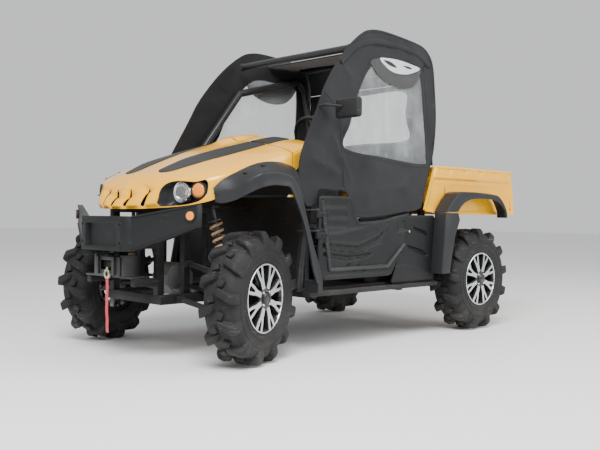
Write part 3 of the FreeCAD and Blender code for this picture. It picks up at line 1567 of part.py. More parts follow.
def bumper():
    """A centre plate with wings swept back to the front lamps."""
    x = number(size.bumper_x)
    half = number(size.bumper_half)
    low = number(size.bumper_low)
    high = number(size.bumper_high)
    plan = [
        (x - 90, -half - 10), (x - 30, -half - 6), (x, -half + 40),
        (x, half - 40), (x - 30, half + 6), (x - 90, half + 10),
    ]
    centre = plan_plate(plan, low, high, 16)
    recess = Part.makeBox(30, 2 * (half - 80), high - low - 60, Vector(x - 24, -half + 80, low + 24))
    near_x, near_y = x - 34, half + 2
    far_x, far_y = 1338, 566
    wings = []
    lamps = []
    for side in LEFT_AND_RIGHT:
        near = [
            Vector(near_x, side * near_y, low), Vector(near_x - 36, side * near_y, low),
            Vector(near_x - 36, side * near_y, high), Vector(near_x, side * near_y, high),
        ]
        far = [
            Vector(far_x, side * far_y, 698), Vector(far_x - 32, side * far_y, 698),
            Vector(far_x - 32, side * far_y, 812), Vector(far_x, side * far_y, 812),
        ]
        wings.append(skin_over([near, far]))
        out = Vector(far_y - near_y, side * (near_x - far_x), 0).normalize()
        lamp_y = far_y - 30
        lamp_x = near_x - (near_x - far_x) * (lamp_y - near_y) / (far_y - near_y)
        lamp_foot = Vector(lamp_x, side * lamp_y, 756) + out * number(size.running_gap)
        lamps.append(tube([lamp_foot, lamp_foot + out * 20], 26))
    whole = centre.cut(recess).multiFuse(wings)
    across = number(size.bolt_across) / 2
    up = number(size.bolt_up) / 2
    middle = (low + high) / 2
    for side in LEFT_AND_RIGHT:
        for level in (middle - up, middle + up):
            whole = whole.cut(bar(
                Vector(x - 100, side * across, level), Vector(x + 20, side * across, level), size.bolt_radius,
            ))
    piece(form("Bumper", whole), "bumper")
    piece(form("BumperLamps", group(lamps)), "bumper_lamps")


def winch():
    """Winch on its plate, with a hook in front and the strap that hangs from it."""
    front = number(size.bumper_x) - 32
    low = number(size.winch_z)
    half = number(size.rail_y) - 15
    top = low + 8
    plate = Part.makeBox(120, 2 * half, 8, Vector(front - 130, -half, low))
    ears = [Part.makeBox(110, 24, 110, Vector(front - 125, side * 125 - 12, top)) for side in LEFT_AND_RIGHT]
    drum = tube([Vector(front - 70, -120, top + 54), Vector(front - 70, 120, top + 54)], 38)
    window = Part.makeBox(10, 130, 50, Vector(front - 15, -65, top + 30))
    face = Part.makeBox(8, 240, 100, Vector(front - 14, -120, top)).cut(window)
    rollers = []
    for side in LEFT_AND_RIGHT:
        foot = Vector(front + 3.3, side * 76, top + 4)
        rollers.append(tube([foot, foot + Vector(0, 0, 96)], 9, flats=6))
    piece(form("Winch", plate.multiFuse(ears + [drum, face] + rollers)), "winch")
    ring = turned([(-5, 14), (5, 14), (5, 26), (-5, 26)], 10)
    ring.rotate(Vector(0, 0, 0), Vector(0, 0, 1), 90)
    ring.translate(Vector(front + 3, 20, top + 10))
    stem = tube([Vector(front - 31.7, 20, top + 40), Vector(front + 4.3, 20, top + 40)], 7, flats=6)
    neck = Part.makeBox(8, 12, 16, Vector(front - 1, 14, top + 28))
    piece(form("Hook", ring.multiFuse([stem, neck])), "hook")
    piece(form("Strap", Part.makeBox(3, 26, 282.7, Vector(front + 1.5, 7, top - 299))), "strap")


def mirror():
    """One mirror on the left, on a foot against the front cage post."""
    hoop = hoop_points(LEFT)
    low, high = hoop[1], hoop[2]
    along = Vector(high - low).normalize()
    middle = low + along * ((1345 - low.z) / along.z)
    forward = Vector(0, 1, 0).cross(along).normalize()
    face = middle + forward * (number(size.cage_radius) + number(size.running_gap))
    foot = tube([face, face + forward * 12], 14, flats=6)
    knee = face + forward * 56
    # Arm line: off the foot, forward, out past the fabric door, back to the head
    arm_line = [face + forward * 6, knee, Vector(knee.x, 645, knee.z), Vector(432, 700, 1372)]
    arm = tube(arm_line, 8, flats=4)
    head = side_plate([(390, 1306), (436, 1306), (436, 1420), (390, 1420)], 641, 819, 14)
    piece(form("Mirror", arm.multiFuse([foot, head])), "mirror")


def steering_wheel():
    tilt = math.radians(number(size.column_tilt))
    along = Vector(math.cos(tilt), 0, -math.sin(tilt))
    hub = point(size.wheel_x, size.wheel_y, size.wheel_z)
    grip = number(size.wheel_grip)
    section = []
    for corner in range(6):
        angle = math.pi * corner / 3
        section.append((grip * math.cos(angle), number(size.wheel_ring) + grip * math.sin(angle)))
    ring = turned(section, flats=16)
    ring.Placement = Placement(hub, Rotation(Vector(0, 1, 0), along))
    parts = [
        tube([hub, hub + along * 38], 36),
        bar(hub + along * 20, hub + along * 100, size.shaft_radius),
    ]
    for turn in (0, 120, 240):
        spoke = Part.makeBox(12, 30, number(size.wheel_ring), Vector(4, -15, 0))
        spoke.rotate(Vector(0, 0, 0), Vector(1, 0, 0), turn)
        spoke.rotate(Vector(0, 0, 0), Vector(0, 1, 0), number(size.column_tilt))
        spoke.translate(hub)
        parts.append(spoke)
    piece(form("SteeringWheel", ring.multiFuse(parts).removeSplitter()), "steering_wheel")


main_frame()
front_frame()
rear_frame()
hitch_receiver()
cage_hoop(LEFT, "cage_left")
cage_hoop(RIGHT, "cage_right")
cage_bars()
floor_pan()
dash()
cowl()
seats()
masses()
suspension()
shocks()
half_shafts()
tie_rods()
wheels()
door(LEFT, "door_left")
door(RIGHT, "door_right")
soft_doors()
roof_cover()
hood()
front_flare(LEFT, "front_flare_left")
front_flare(RIGHT, "front_flare_right")
rear_flares()
cab_sides()
bed()
bumper()
winch()
mirror()
steering_wheel()
doc.recompute()

for thing in doc.Objects:
    for state in thing.State:
        if state in ("Invalid", "Error"):
            raise RuntimeError(f"{thing.Label} is {state}")
unsound = [solid.Label for solid in pieces if solid.Shape.isNull() or not solid.Shape.isValid()]
if unsound:
    raise RuntimeError(f"no sound shape: {unsound}")
for solid in pieces:
    solid.Shape.exportStep(f"parts/{solid.Label}.step")
    print(solid.Label, len(solid.Shape.Solids), round(solid.Shape.Volume / 1e6, 3))
print(len(pieces), "pieces")
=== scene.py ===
import json
import math
import bpy
from mathutils import Matrix, Vector, noise


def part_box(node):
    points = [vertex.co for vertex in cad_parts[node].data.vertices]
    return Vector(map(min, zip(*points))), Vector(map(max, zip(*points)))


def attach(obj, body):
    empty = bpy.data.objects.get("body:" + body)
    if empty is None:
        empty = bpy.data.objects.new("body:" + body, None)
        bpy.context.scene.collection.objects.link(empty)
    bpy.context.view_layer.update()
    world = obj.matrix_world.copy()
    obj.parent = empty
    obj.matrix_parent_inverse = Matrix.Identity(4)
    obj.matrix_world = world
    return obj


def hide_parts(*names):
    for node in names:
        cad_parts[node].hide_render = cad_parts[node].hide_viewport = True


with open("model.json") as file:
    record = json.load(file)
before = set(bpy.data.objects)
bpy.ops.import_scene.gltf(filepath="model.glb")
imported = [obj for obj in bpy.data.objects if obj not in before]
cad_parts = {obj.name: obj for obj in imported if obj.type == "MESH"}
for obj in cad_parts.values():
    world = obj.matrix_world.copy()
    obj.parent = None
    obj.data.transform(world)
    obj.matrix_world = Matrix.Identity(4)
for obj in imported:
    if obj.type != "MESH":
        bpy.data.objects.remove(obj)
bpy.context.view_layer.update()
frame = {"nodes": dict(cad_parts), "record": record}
cadNodes = frame["nodes"]

# Camera, at the photograph's angle

cameraLook = {
    "place": (3.7843, 3.7104, 0.7745),
    "heading": -135.154,
    "pitch": -0.838,
    "roll": 0.56,
    "lens": 48.46,
    "sensor": 36.0,
}


def aimCamera(look):
    heading = math.radians(look["heading"])
    pitch = math.radians(look["pitch"])
    roll = math.radians(look["roll"])
    ahead = Vector((
        math.cos(pitch) * math.cos(heading), math.cos(pitch) * math.sin(heading), math.sin(pitch),
    ))
    level = ahead.cross(Vector((0, 0, 1))).normalized()
    upright = level.cross(ahead)
    right = level * math.cos(roll) + upright * math.sin(roll)
    up = upright * math.cos(roll) - level * math.sin(roll)
    data = bpy.data.cameras.new("Camera")
    data.lens = look["lens"]
    data.sensor_width = look["sensor"]
    data.clip_end = 100
    camera = bpy.data.objects.new("Camera", data)
    bpy.context.scene.collection.objects.link(camera)
    turn = Matrix((right, up, -ahead)).transposed()
    camera.matrix_world = Matrix.Translation(Vector(look["place"])) @ turn.to_4x4()
    bpy.context.scene.camera = camera
    return camera


camera = aimCamera(cameraLook)
print("camera set")

# Selecting and finishing


def atMm(x, y, z):
    return Vector((x, y, z)) * 0.001


def clearSelection():
    if bpy.context.object and bpy.context.object.mode != "OBJECT":
        bpy.ops.object.mode_set(mode="OBJECT")
    bpy.ops.object.select_all(action="DESELECT")


def useOnly(piece):
    clearSelection()
    piece.select_set(True)
    bpy.context.view_layer.objects.active = piece


def settlePlace(piece):
    # The place goes into the mesh, so the object stands at the origin
    useOnly(piece)
    bpy.ops.object.transform_apply(location=True, rotation=True, scale=True)
    return piece


def editAll(piece):
    useOnly(piece)
    bpy.ops.object.mode_set(mode="EDIT")
    bpy.ops.mesh.select_all(action="SELECT")


def leaveEdit():
    bpy.ops.object.mode_set(mode="OBJECT")


def applyModifier(piece, kind, **values):
    useOnly(piece)
    modifier = piece.modifiers.new(kind.title(), kind)
    for key, value in values.items():
        setattr(modifier, key, value)
    bpy.ops.object.modifier_apply(modifier=modifier.name)
    return piece


def mergeDoubles(piece, distance=0.00005):
    editAll(piece)
    bpy.ops.mesh.remove_doubles(threshold=distance)
    leaveEdit()
    return piece


def faceOutwards(piece):
    editAll(piece)
    bpy.ops.mesh.normals_make_consistent(inside=False)
    leaveEdit()
    return piece


def shadeRound(piece, degrees=35):
    useOnly(piece)
    bpy.ops.object.shade_smooth_by_angle(angle=math.radians(degrees))
    return piece


def softEdges(piece, width, segments=2, degrees=30):
    return applyModifier(
        piece, "BEVEL", width=width * 0.001, segments=segments, limit_method="ANGLE",
        angle_limit=math.radians(degrees), use_clamp_overlap=True,
    )


def thicken(piece, wall, offset=-1.0):
    return applyModifier(piece, "SOLIDIFY", thickness=wall * 0.001, offset=offset)


def cutAway(piece, cutter):
    # The cutter's volume comes out of the piece, and the cutter goes
    applyModifier(piece, "BOOLEAN", operation="DIFFERENCE", solver="EXACT", object=cutter)
    bpy.data.objects.remove(cutter)
    return piece


def joinPieces(name, pieces):
    useOnly(pieces[0])
    for piece in pieces[1:]:
        piece.select_set(True)
    if len(pieces) > 1:
        bpy.ops.object.join()
    pieces[0].name = name
    pieces[0].data.name = name
    return pieces[0]


def ownCopy(piece, name):
    twin = piece.copy()
    twin.data = piece.data.copy()
    twin.name = name
    bpy.context.scene.collection.objects.link(twin)
    return twin


def movedCopy(piece, name, matrix):
    twin = ownCopy(piece, name)
    twin.data.transform(matrix)
    if matrix.determinant() < 0:
        twin.data.flip_normals()
    return twin


def mirroredCopy(piece, name):
    return movedCopy(piece, name, Matrix.Scale(-1, 4, Vector((0, 1, 0))))


def wear(piece, look):
    piece.data.materials.clear()
    piece.data.materials.append(look)
    return piece


def deliver(piece, body, slotName, replaced=(), look=None):
    # A piece wears its slot's look unless another is named
    wear(piece, look or looks[slotName])
    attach(piece, body)
    if replaced:
        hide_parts(*replaced)
    return piece


# Starting shapes


def startBlock(name, low, high):
    low, high = atMm(*low), atMm(*high)
    clearSelection()
    bpy.ops.mesh.primitive_cube_add(size=1, location=(low + high) / 2)
    block = bpy.context.object
    block.scale = high - low
    block.name = name
    return settlePlace(block)


def startBar(name, start, end, radius, sides=24):
    start, end = atMm(*start), atMm(*end)
    clearSelection()
    bpy.ops.mesh.primitive_cylinder_add(
        vertices=sides, radius=radius * 0.001, depth=(end - start).length, location=(start + end) / 2,
        rotation=(end - start).to_track_quat("Z", "Y").to_euler(),
    )
    bar = bpy.context.object
    bar.name = name
    return settlePlace(bar)


def startPlate(name, corners, lift):
    # A filled circle whose corners are moved to their places, then extruded
    clearSelection()
    bpy.ops.mesh.primitive_circle_add(vertices=len(corners), radius=0.01, fill_type="NGON")
    plate = bpy.context.object
    plate.name = name
    for corner, vertex in zip(corners, plate.data.vertices):
        vertex.co = atMm(*corner)
    settlePlace(plate)
    editAll(plate)
    bpy.ops.mesh.extrude_region_move(TRANSFORM_OT_translate={"value": atMm(*lift)})
    bpy.ops.mesh.select_all(action="SELECT")
    bpy.ops.mesh.normals_make_consistent(inside=False)
    leaveEdit()
    return plate


def sidePlate(name, line, low, high):
    return startPlate(name, [(x, low, z) for x, z in line], (0, high - low, 0))


def frontPlate(name, line, low, high):
    return startPlate(name, [(low, y, z) for y, z in line], (high - low, 0, 0))


def layGrid(name, across, along, placeAt, closed=False):
    # A flat grid whose corners are laid on a surface; a closed one is sewn along its seam
    clearSelection()
    bpy.ops.mesh.primitive_grid_add(x_subdivisions=across, y_subdivisions=along, size=2)
    skin = bpy.context.object
    skin.name = name
    for vertex in skin.data.vertices:
        u, v = (vertex.co.x + 1) / 2, (vertex.co.y + 1) / 2
        vertex.co = placeAt(u, v) * 0.001
    if closed:
        mergeDoubles(skin)
    return faceOutwards(skin)


def layTube(name, points, radius, bends=(), sides=10, arcSteps=6):
    # A tube along straight runs joined by arcs
    path = [Vector(points[0])]
    bends = list(bends) or [0] * (len(points) - 2)
    for before, here, after, bend in zip(points, points[1:], points[2:], bends):
        here = Vector(here)
        back = (Vector(before) - here).normalized()
        ahead = (Vector(after) - here).normalized()
        half = back.angle(ahead) / 2
        if bend == 0:
            path.append(here)
            continue
        centre = here + (back + ahead).normalized() * (bend / math.sin(half))
        first = here + back * (bend / math.tan(half)) - centre
        last = here + ahead * (bend / math.tan(half)) - centre
        for step in range(arcSteps + 1):
            path.append(centre + first.slerp(last, step / arcSteps))
    path.append(Vector(points[-1]))
    line = bpy.data.curves.new(name, "CURVE")
    line.dimensions = "3D"
    line.bevel_depth = radius * 0.001
    line.bevel_resolution = sides // 2
    line.use_fill_caps = True
    spline = line.splines.new("POLY")
    spline.points.add(len(path) - 1)
    for spot, place in zip(spline.points, path):
        spot.co = (*(place * 0.001), 1)
    tube = bpy.data.objects.new(name, line)
    bpy.context.scene.collection.objects.link(tube)
    useOnly(tube)
    bpy.ops.object.convert(target="MESH")
    return shadeRound(bpy.context.object, 40)


def softCopy(node, name, width, segments=2, degrees=30, flat=5):
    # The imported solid's own form with merged corners and rounded edges
    twin = ownCopy(cadNodes[node], name)
    twin.parent = None
    for key in list(twin.keys()):
        del twin[key]
    twin.hide_render = False
    twin.hide_viewport = False
    mergeDoubles(twin)
    applyModifier(twin, "DECIMATE", decimate_type="DISSOLVE", angle_limit=math.radians(flat))
    if width:
        softEdges(twin, width, segments, degrees)
    return shadeRound(twin, 40)


def smoothLine(points, steps):
    # A curve through every point, each run cut into steps
    line = []
    count = len(points)
    for index in range(count - 1):
        p1, p2 = Vector(points[index]), Vector(points[index + 1])
        p0 = Vector(points[index - 1]) if index else p1 * 2 - p2
        p3 = Vector(points[index + 2]) if index + 2 < count else p2 * 2 - p1
        for step in range(steps):
            t = step / steps
            line.append(
                (p1 * 2 + (p2 - p0) * t + (p0 * 2 - p1 * 5 + p2 * 4 - p3) * t * t
                 + (p1 * 3 - p0 - p2 * 3 + p3) * t * t * t) / 2
            )
    line.append(Vector(points[-1]))
    return line


def alongTable(rows, t):
    # A row of numbers read smoothly from a table, t from 0 to 1
    spot = min(max(t, 0), 1) * (len(rows) - 1)
    index = min(int(spot), len(rows) - 2)
    t = spot - index
    p1, p2 = rows[index], rows[index + 1]
    p0 = rows[index - 1] if index else [2 * a - b for a, b in zip(p1, p2)]
    p3 = rows[index + 2] if index + 2 < len(rows) else [2 * b - a for a, b in zip(p1, p2)]
    return [
        (2 * b + (c - a) * t + (2 * a - 5 * b + 4 * c - d) * t * t + (3 * b - a - 3 * c + d) * t ** 3) / 2
        for a, b, c, d in zip(p0, p1, p2, p3)
    ]


def between(low, high, value):
    t = min(max((value - low) / (high - low), 0), 1)
    return t * t * (3 - 2 * t)


print("tools ready")

# Effects that several finishes share


def startGroup(name, inputs, outputs):
    group = bpy.data.node_groups.new(name, "ShaderNodeTree")
    for label, value in inputs:
        socket = group.interface.new_socket(name=label, in_out="INPUT", socket_type="NodeSocketFloat")
        socket.default_value = value
    for label in outputs:
        group.interface.new_socket(name=label, in_out="OUTPUT", socket_type="NodeSocketFloat")
    return group, group.nodes.new("NodeGroupInput"), group.nodes.new("NodeGroupOutput")


def addNode(tree, kind, **values):
    node = tree.nodes.new("ShaderNode" + kind)
    for key, value in values.items():
        setattr(node, key, value)
    return node


def math2(tree, operation, first, second, clamp=False):
    node = addNode(tree, "Math", operation=operation, use_clamp=clamp)
    for socket, value in zip(node.inputs, (first, second)):
        if isinstance(value, (int, float)):
            socket.default_value = value
        else:
            tree.links.new(value, socket)
    return node.outputs[0]


def rangeOf(tree, value, low, high, newLow=0.0, newHigh=1.0):
    node = addNode(tree, "MapRange", interpolation_type="SMOOTHSTEP")
    for socket, number in zip(node.inputs, (value, low, high, newLow, newHigh)):
        if isinstance(number, (int, float)):
            socket.default_value = number
        else:
            tree.links.new(number, socket)
    return node.outputs[0]


def grainGroup():
    # Pebbled skin of moulded plastic and cast metal
    group, source, result = startGroup("MouldGrain", (("Scale", 900), ("Depth", 1)), ("Height",))
    place = addNode(group, "TexCoord")
    fine = addNode(group, "TexNoise")
    fine.inputs["Detail"].default_value = 3
    cells = addNode(group, "TexVoronoi")
    group.links.new(place.outputs["Object"], fine.inputs["Vector"])
    group.links.new(place.outputs["Object"], cells.inputs["Vector"])
    group.links.new(source.outputs["Scale"], fine.inputs["Scale"])
    group.links.new(source.outputs["Scale"], cells.inputs["Scale"])
    height = math2(group, "ADD", fine.outputs["Fac"], cells.outputs["Distance"])
    height = math2(group, "MULTIPLY", height, source.outputs["Depth"])
    group.links.new(height, result.inputs["Height"])
    return group


def dustGroup():
    # Road dust: thick low down, thinner and in patches above, and on faces that look up
    group, source, result = startGroup(
        "RoadDust", (("Top", 0.6), ("Low", 0.5), ("Flat", 0.2), ("Scale", 6)), ("Mask",),
    )
    place = addNode(group, "TexCoord")
    split = addNode(group, "SeparateXYZ")
    group.links.new(place.outputs["Object"], split.inputs[0])
    patches = addNode(group, "TexNoise")
    patches.inputs["Detail"].default_value = 6
    patches.inputs["Roughness"].default_value = 0.62
    group.links.new(place.outputs["Object"], patches.inputs["Vector"])
    group.links.new(source.outputs["Scale"], patches.inputs["Scale"])
    low = rangeOf(group, split.outputs["Z"], source.outputs["Top"], 0.0, 0.0, 1.0)
    low = math2(group, "MULTIPLY", low, source.outputs["Low"])
    shape = addNode(group, "NewGeometry")
    facing = addNode(group, "SeparateXYZ")
    group.links.new(shape.outputs["Normal"], facing.inputs[0])
    flat = rangeOf(group, facing.outputs["Z"], 0.2, 1.0)
    flat = math2(group, "MULTIPLY", flat, source.outputs["Flat"])
    amount = math2(group, "ADD", low, flat)
    spots = rangeOf(group, patches.outputs["Fac"], 0.3, 0.72)
    mask = math2(group, "MULTIPLY", amount, spots, True)
    group.links.new(mask, result.inputs["Mask"])
    return group


def scuffGroup():
    # Long fine scratches and rubbed spots
    group, source, result = startGroup("Scuffs", (("Scale", 18), ("Amount", 0.5)), ("Mask", "Cloud"))
    place = addNode(group, "TexCoord")
    stretch = addNode(group, "Mapping")
    stretch.inputs["Scale"].default_value = (1, 1.6, 7)
    stretch.inputs["Rotation"].default_value = (0.3, 0.5, 0.2)
    group.links.new(place.outputs["Object"], stretch.inputs["Vector"])
    lines = addNode(group, "TexNoise")
    lines.inputs["Detail"].default_value = 8
    cloud = addNode(group, "TexNoise")
    cloud.inputs["Detail"].default_value = 4
    cloud.inputs["Scale"].default_value = 3.5
    group.links.new(stretch.outputs["Vector"], lines.inputs["Vector"])
    group.links.new(place.outputs["Object"], cloud.inputs["Vector"])
    group.links.new(source.outputs["Scale"], lines.inputs["Scale"])
    fine = rangeOf(group, lines.outputs["Fac"], 0.6, 0.74)
    fine = math2(group, "MULTIPLY", fine, source.outputs["Amount"], True)
    group.links.new(fine, result.inputs["Mask"])
    group.links.new(cloud.outputs["Fac"], result.inputs["Cloud"])
    return group


def weaveGroup():
    # Threads over and under, seen close up
    group, source, result = startGroup("Weave", (("Threads", 700), ("Depth", 1)), ("Height", "Shade"))
    place = addNode(group, "TexCoord")
    bands = []
    for axis in ("X", "Z"):
        wave = addNode(group, "TexWave", wave_type="BANDS", bands_direction=axis)
        wave.inputs["Distortion"].default_value = 0.4
        wave.inputs["Detail"].default_value = 1
        group.links.new(place.outputs["Object"], wave.inputs["Vector"])
        group.links.new(source.outputs["Threads"], wave.inputs["Scale"])
        bands.append(wave.outputs["Fac"])
    height = math2(group, "MAXIMUM", bands[0], bands[1])
    group.links.new(math2(group, "MULTIPLY", height, source.outputs["Depth"]), result.inputs["Height"])
    fade = addNode(group, "TexNoise")
    fade.inputs["Scale"].default_value = 4
    fade.inputs["Detail"].default_value = 5
    group.links.new(place.outputs["Object"], fade.inputs["Vector"])
    group.links.new(rangeOf(group, fade.outputs["Fac"], 0.3, 0.7), result.inputs["Shade"])
    return group


grain = grainGroup()
dust = dustGroup()
scuffs = scuffGroup()
weave = weaveGroup()
print("shared effects built")

# Finishes


def placeGroup(tree, group, **values):
    node = tree.nodes.new("ShaderNodeGroup")
    node.node_tree = group
    for label, value in values.items():
        node.inputs[label].default_value = value
    return node


def mixColours(tree, mask, first, second):
    node = addNode(tree, "Mix", data_type="RGBA", clamp_factor=True)
    if isinstance(mask, (int, float)):
        node.inputs["Factor"].default_value = mask
    else:
        tree.links.new(mask, node.inputs["Factor"])
    for socket, value in zip((node.inputs[6], node.inputs[7]), (first, second)):
        if isinstance(value, tuple):
            socket.default_value = (*value, 1)
        else:
            tree.links.new(value, socket)
    return node.outputs[2]


dustColour = (0.30, 0.275, 0.235)
plainFinish = {
    "colour": (0.05, 0.05, 0.05), "second": None, "rough": (0.45, 0.6), "metal": 0.0, "coat": 0.0,
    "coatRough": 0.08, "grain": 900, "grainDepth": 0.25, "bump": 0.00012, "dustTop": 0.5, "dustLow": 0.18,
    "dustFlat": 0.12, "dustScale": 7, "scuff": 0.25, "scuffScale": 14, "scuffColour": (0.16, 0.16, 0.16),
    "threads": 0, "sheen": 0.0, "specular": 0.22,
}


def makeFinish(name, **changes):
    look = {**plainFinish, **changes}
    finish = bpy.data.materials.new(name)
    finish.use_nodes = True
    tree = finish.node_tree
    shader = tree.nodes["Principled BSDF"]
    scratch = placeGroup(tree, scuffs, Scale=look["scuffScale"], Amount=look["scuff"])
    second = look["second"] or tuple(value * 0.72 for value in look["colour"])
    tone = rangeOf(tree, scratch.outputs["Cloud"], 0.35, 0.7)
    colour = mixColours(tree, tone, look["colour"], second)
    colour = mixColours(tree, scratch.outputs["Mask"], colour, look["scuffColour"])
    dirt = placeGroup(
        tree, dust, Top=look["dustTop"], Low=look["dustLow"], Flat=look["dustFlat"], Scale=look["dustScale"],
    )
    if look["threads"]:
        cloth = placeGroup(tree, weave, Threads=look["threads"], Depth=1)
        colour = mixColours(tree, math2(tree, "MULTIPLY", cloth.outputs["Shade"], 0.35), colour, second)
        height = cloth.outputs["Height"]
    else:
        pebbles = placeGroup(tree, grain, Scale=look["grain"], Depth=look["grainDepth"])
        height = pebbles.outputs["Height"]
    colour = mixColours(tree, dirt.outputs["Mask"], colour, dustColour)
    tree.links.new(colour, shader.inputs["Base Color"])
    low, high = look["rough"]
    rough = rangeOf(tree, scratch.outputs["Cloud"], 0.3, 0.7, low, high)
    rough = math2(tree, "ADD", rough, math2(tree, "MULTIPLY", dirt.outputs["Mask"], 0.35), True)
    tree.links.new(rough, shader.inputs["Roughness"])
    bump = addNode(tree, "Bump")
    bump.inputs["Strength"].default_value = 1
    bump.inputs["Distance"].default_value = look["bump"]
    tree.links.new(height, bump.inputs["Height"])
    tree.links.new(bump.outputs["Normal"], shader.inputs["Normal"])
    shader.inputs["Metallic"].default_value = look["metal"]
    shader.inputs["Coat Weight"].default_value = look["coat"]
    shader.inputs["Coat Roughness"].default_value = look["coatRough"]
    shader.inputs["Specular IOR Level"].default_value = look["specular"]
    if look["sheen"]:
        shader.inputs["Sheen Weight"].default_value = look["sheen"]
    return finish


looks = {
    "frame_paint": makeFinish(
        "FramePaint", colour=(0.014, 0.014, 0.015), rough=(0.35, 0.55), dustLow=0.2, dustTop=0.3,
    ),
    "cage_paint": makeFinish(
        "CagePaint", colour=(0.02, 0.02, 0.022), rough=(0.3, 0.45), dustFlat=0.02, coat=0.2,
    ),
    "black_plastic": makeFinish("BlackPlastic", colour=(0.018, 0.018, 0.018), rough=(0.5, 0.65), grain=700),
    "grey_plastic": makeFinish(
        "FlarePlastic", colour=(0.02, 0.021, 0.023), second=(0.015, 0.016, 0.018), rough=(0.38, 0.5),
        grain=800, dustFlat=0.02, dustLow=0.1, scuff=0.06,
    ),
    "door_plastic": makeFinish(
        "DoorPlastic", colour=(0.0105, 0.011, 0.0115), second=(0.008, 0.0085, 0.009), rough=(0.4, 0.55),
        grain=800, dustLow=0.1, dustFlat=0.03, scuff=0.06,
    ),
    "yellow_plastic": makeFinish(
        "YellowPlastic", colour=(0.9, 0.44, 0.002), second=(0.87, 0.4, 0.002), rough=(0.2, 0.28), coat=0.5,
        specular=0.4, grain=300, grainDepth=0.05, dustTop=0.1, dustLow=0.0, dustFlat=0.0, scuff=0.02,
        scuffColour=(0.9, 0.6, 0.1),
    ),
    "seat_vinyl": makeFinish(
        "CushionVinyl", colour=(0.03, 0.03, 0.03), rough=(0.4, 0.55), grain=500, bump=0.0002,
    ),
    "cast_metal": makeFinish(
        "CastMetal", colour=(0.2, 0.2, 0.2), rough=(0.5, 0.7), metal=0.8, grain=350, grainDepth=0.6,
        bump=0.0004, dustLow=0.6,
    ),
    "exhaust_steel": makeFinish(
        "ExhaustSteel", colour=(0.3, 0.27, 0.23), second=(0.2, 0.15, 0.11), metal=0.9,
    ),
    "spring_paint": makeFinish(
        "SpringPaint", colour=(0.34, 0.22, 0.13), second=(0.24, 0.15, 0.09), rough=(0.4, 0.6), dustLow=0.5,
    ),
    "dark_steel": makeFinish(
        "DarkSteel", colour=(0.07, 0.07, 0.072), rough=(0.35, 0.5), metal=0.7, dustLow=0.4,
    ),
    "bright_steel": makeFinish(
        "BrightSteel", colour=(0.62, 0.58, 0.42), second=(0.5, 0.45, 0.3), rough=(0.25, 0.4), metal=1.0,
    ),
    "door_fabric": makeFinish(
        "DoorFabric", colour=(0.0125, 0.013, 0.0145), second=(0.009, 0.0093, 0.0103), rough=(0.62, 0.75),
        threads=260, bump=0.00035, sheen=0.06, dustLow=0.06, dustFlat=0.01, scuff=0.02,
    ),
    "roof_fabric": makeFinish(
        "RoofFabric", colour=(0.02, 0.02, 0.021), rough=(0.65, 0.8), threads=260, bump=0.00035, sheen=0.3,
    ),
    "amber_lens": makeFinish(
        "AmberLens", colour=(0.85, 0.24, 0.01), second=(0.7, 0.16, 0.005), rough=(0.12, 0.2), coat=1.0,
        grain=120, grainDepth=0.5, dustLow=0.05, scuff=0.0,
    ),
    "red_lens": makeFinish(
        "RedLens", colour=(0.42, 0.02, 0.012), second=(0.3, 0.01, 0.008), rough=(0.15, 0.25), coat=1.0,
        grain=120, grainDepth=0.5, dustLow=0.05, scuff=0.0,
    ),
    "red_webbing": makeFinish(
        "RedWebbing", colour=(0.62, 0.08, 0.1), second=(0.5, 0.05, 0.07), rough=(0.7, 0.85), threads=500,
        bump=0.0004, dustLow=0.15, scuffColour=(0.7, 0.3, 0.3),
    ),
    "tyre_rubber": makeFinish(
        "TyreRubber", colour=(0.015, 0.015, 0.0155), second=(0.011, 0.011, 0.0115), rough=(0.6, 0.78),
        grain=260, grainDepth=0.6, bump=0.0004, dustLow=0.1, dustTop=0.35, dustFlat=0.02, dustScale=11,
        specular=0.25,
    ),
    "alloy": makeFinish(
        "BlackAlloy", colour=(0.012, 0.012, 0.013), rough=(0.2, 0.32), coat=0.5, grain=400, dustLow=0.06,
    ),
}
machined = makeFinish(
    "MachinedAlloy", colour=(0.72, 0.73, 0.75), second=(0.64, 0.65, 0.67), rough=(0.16, 0.3), metal=1.0,
    grain=1500, grainDepth=0.3, dustLow=0.08, scuff=0.15, scuffColour=(0.5, 0.5, 0.5),
)


def makeClear(name, colour, rough, alpha, cloudy, transmission):
    finish = bpy.data.materials.new(name)
    finish.use_nodes = True
    tree = finish.node_tree
    shader = tree.nodes["Principled BSDF"]
    scratch = placeGroup(tree, scuffs, Scale=9, Amount=0.5)
    shade = mixColours(tree, scratch.outputs["Mask"], colour, tuple(min(value * 1.3, 1) for value in colour))
    tree.links.new(shade, shader.inputs["Base Color"])
    low, high = rough
    tree.links.new(rangeOf(tree, scratch.outputs["Cloud"], 0.3, 0.7, low, high), shader.inputs["Roughness"])
    if transmission:
        shader.inputs["Transmission Weight"].default_value = transmission
        shader.inputs["IOR"].default_value = 1.3
    else:
        haze = rangeOf(tree, scratch.outputs["Cloud"], 0.35, 0.75, alpha, cloudy)
        haze = math2(tree, "ADD", haze, math2(tree, "MULTIPLY", scratch.outputs["Mask"], 0.12), True)
        tree.links.new(haze, shader.inputs["Alpha"])
    ripple = placeGroup(tree, grain, Scale=7, Depth=1)
    bump = addNode(tree, "Bump")
    bump.inputs["Distance"].default_value = 0.004
    tree.links.new(ripple.outputs["Height"], bump.inputs["Height"])
    tree.links.new(bump.outputs["Normal"], shader.inputs["Normal"])
    return finish


looks["clear_vinyl"] = makeClear("ClearVinyl", (0.62, 0.66, 0.66), (0.05, 0.14), 0.16, 0.34, 0)
looks["clear_lens"] = makeClear("ClearLens", (0.92, 0.94, 0.96), (0.02, 0.06), 0.12, 0.16, 0)
print("finishes made")

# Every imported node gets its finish; a detailed piece may replace it further down

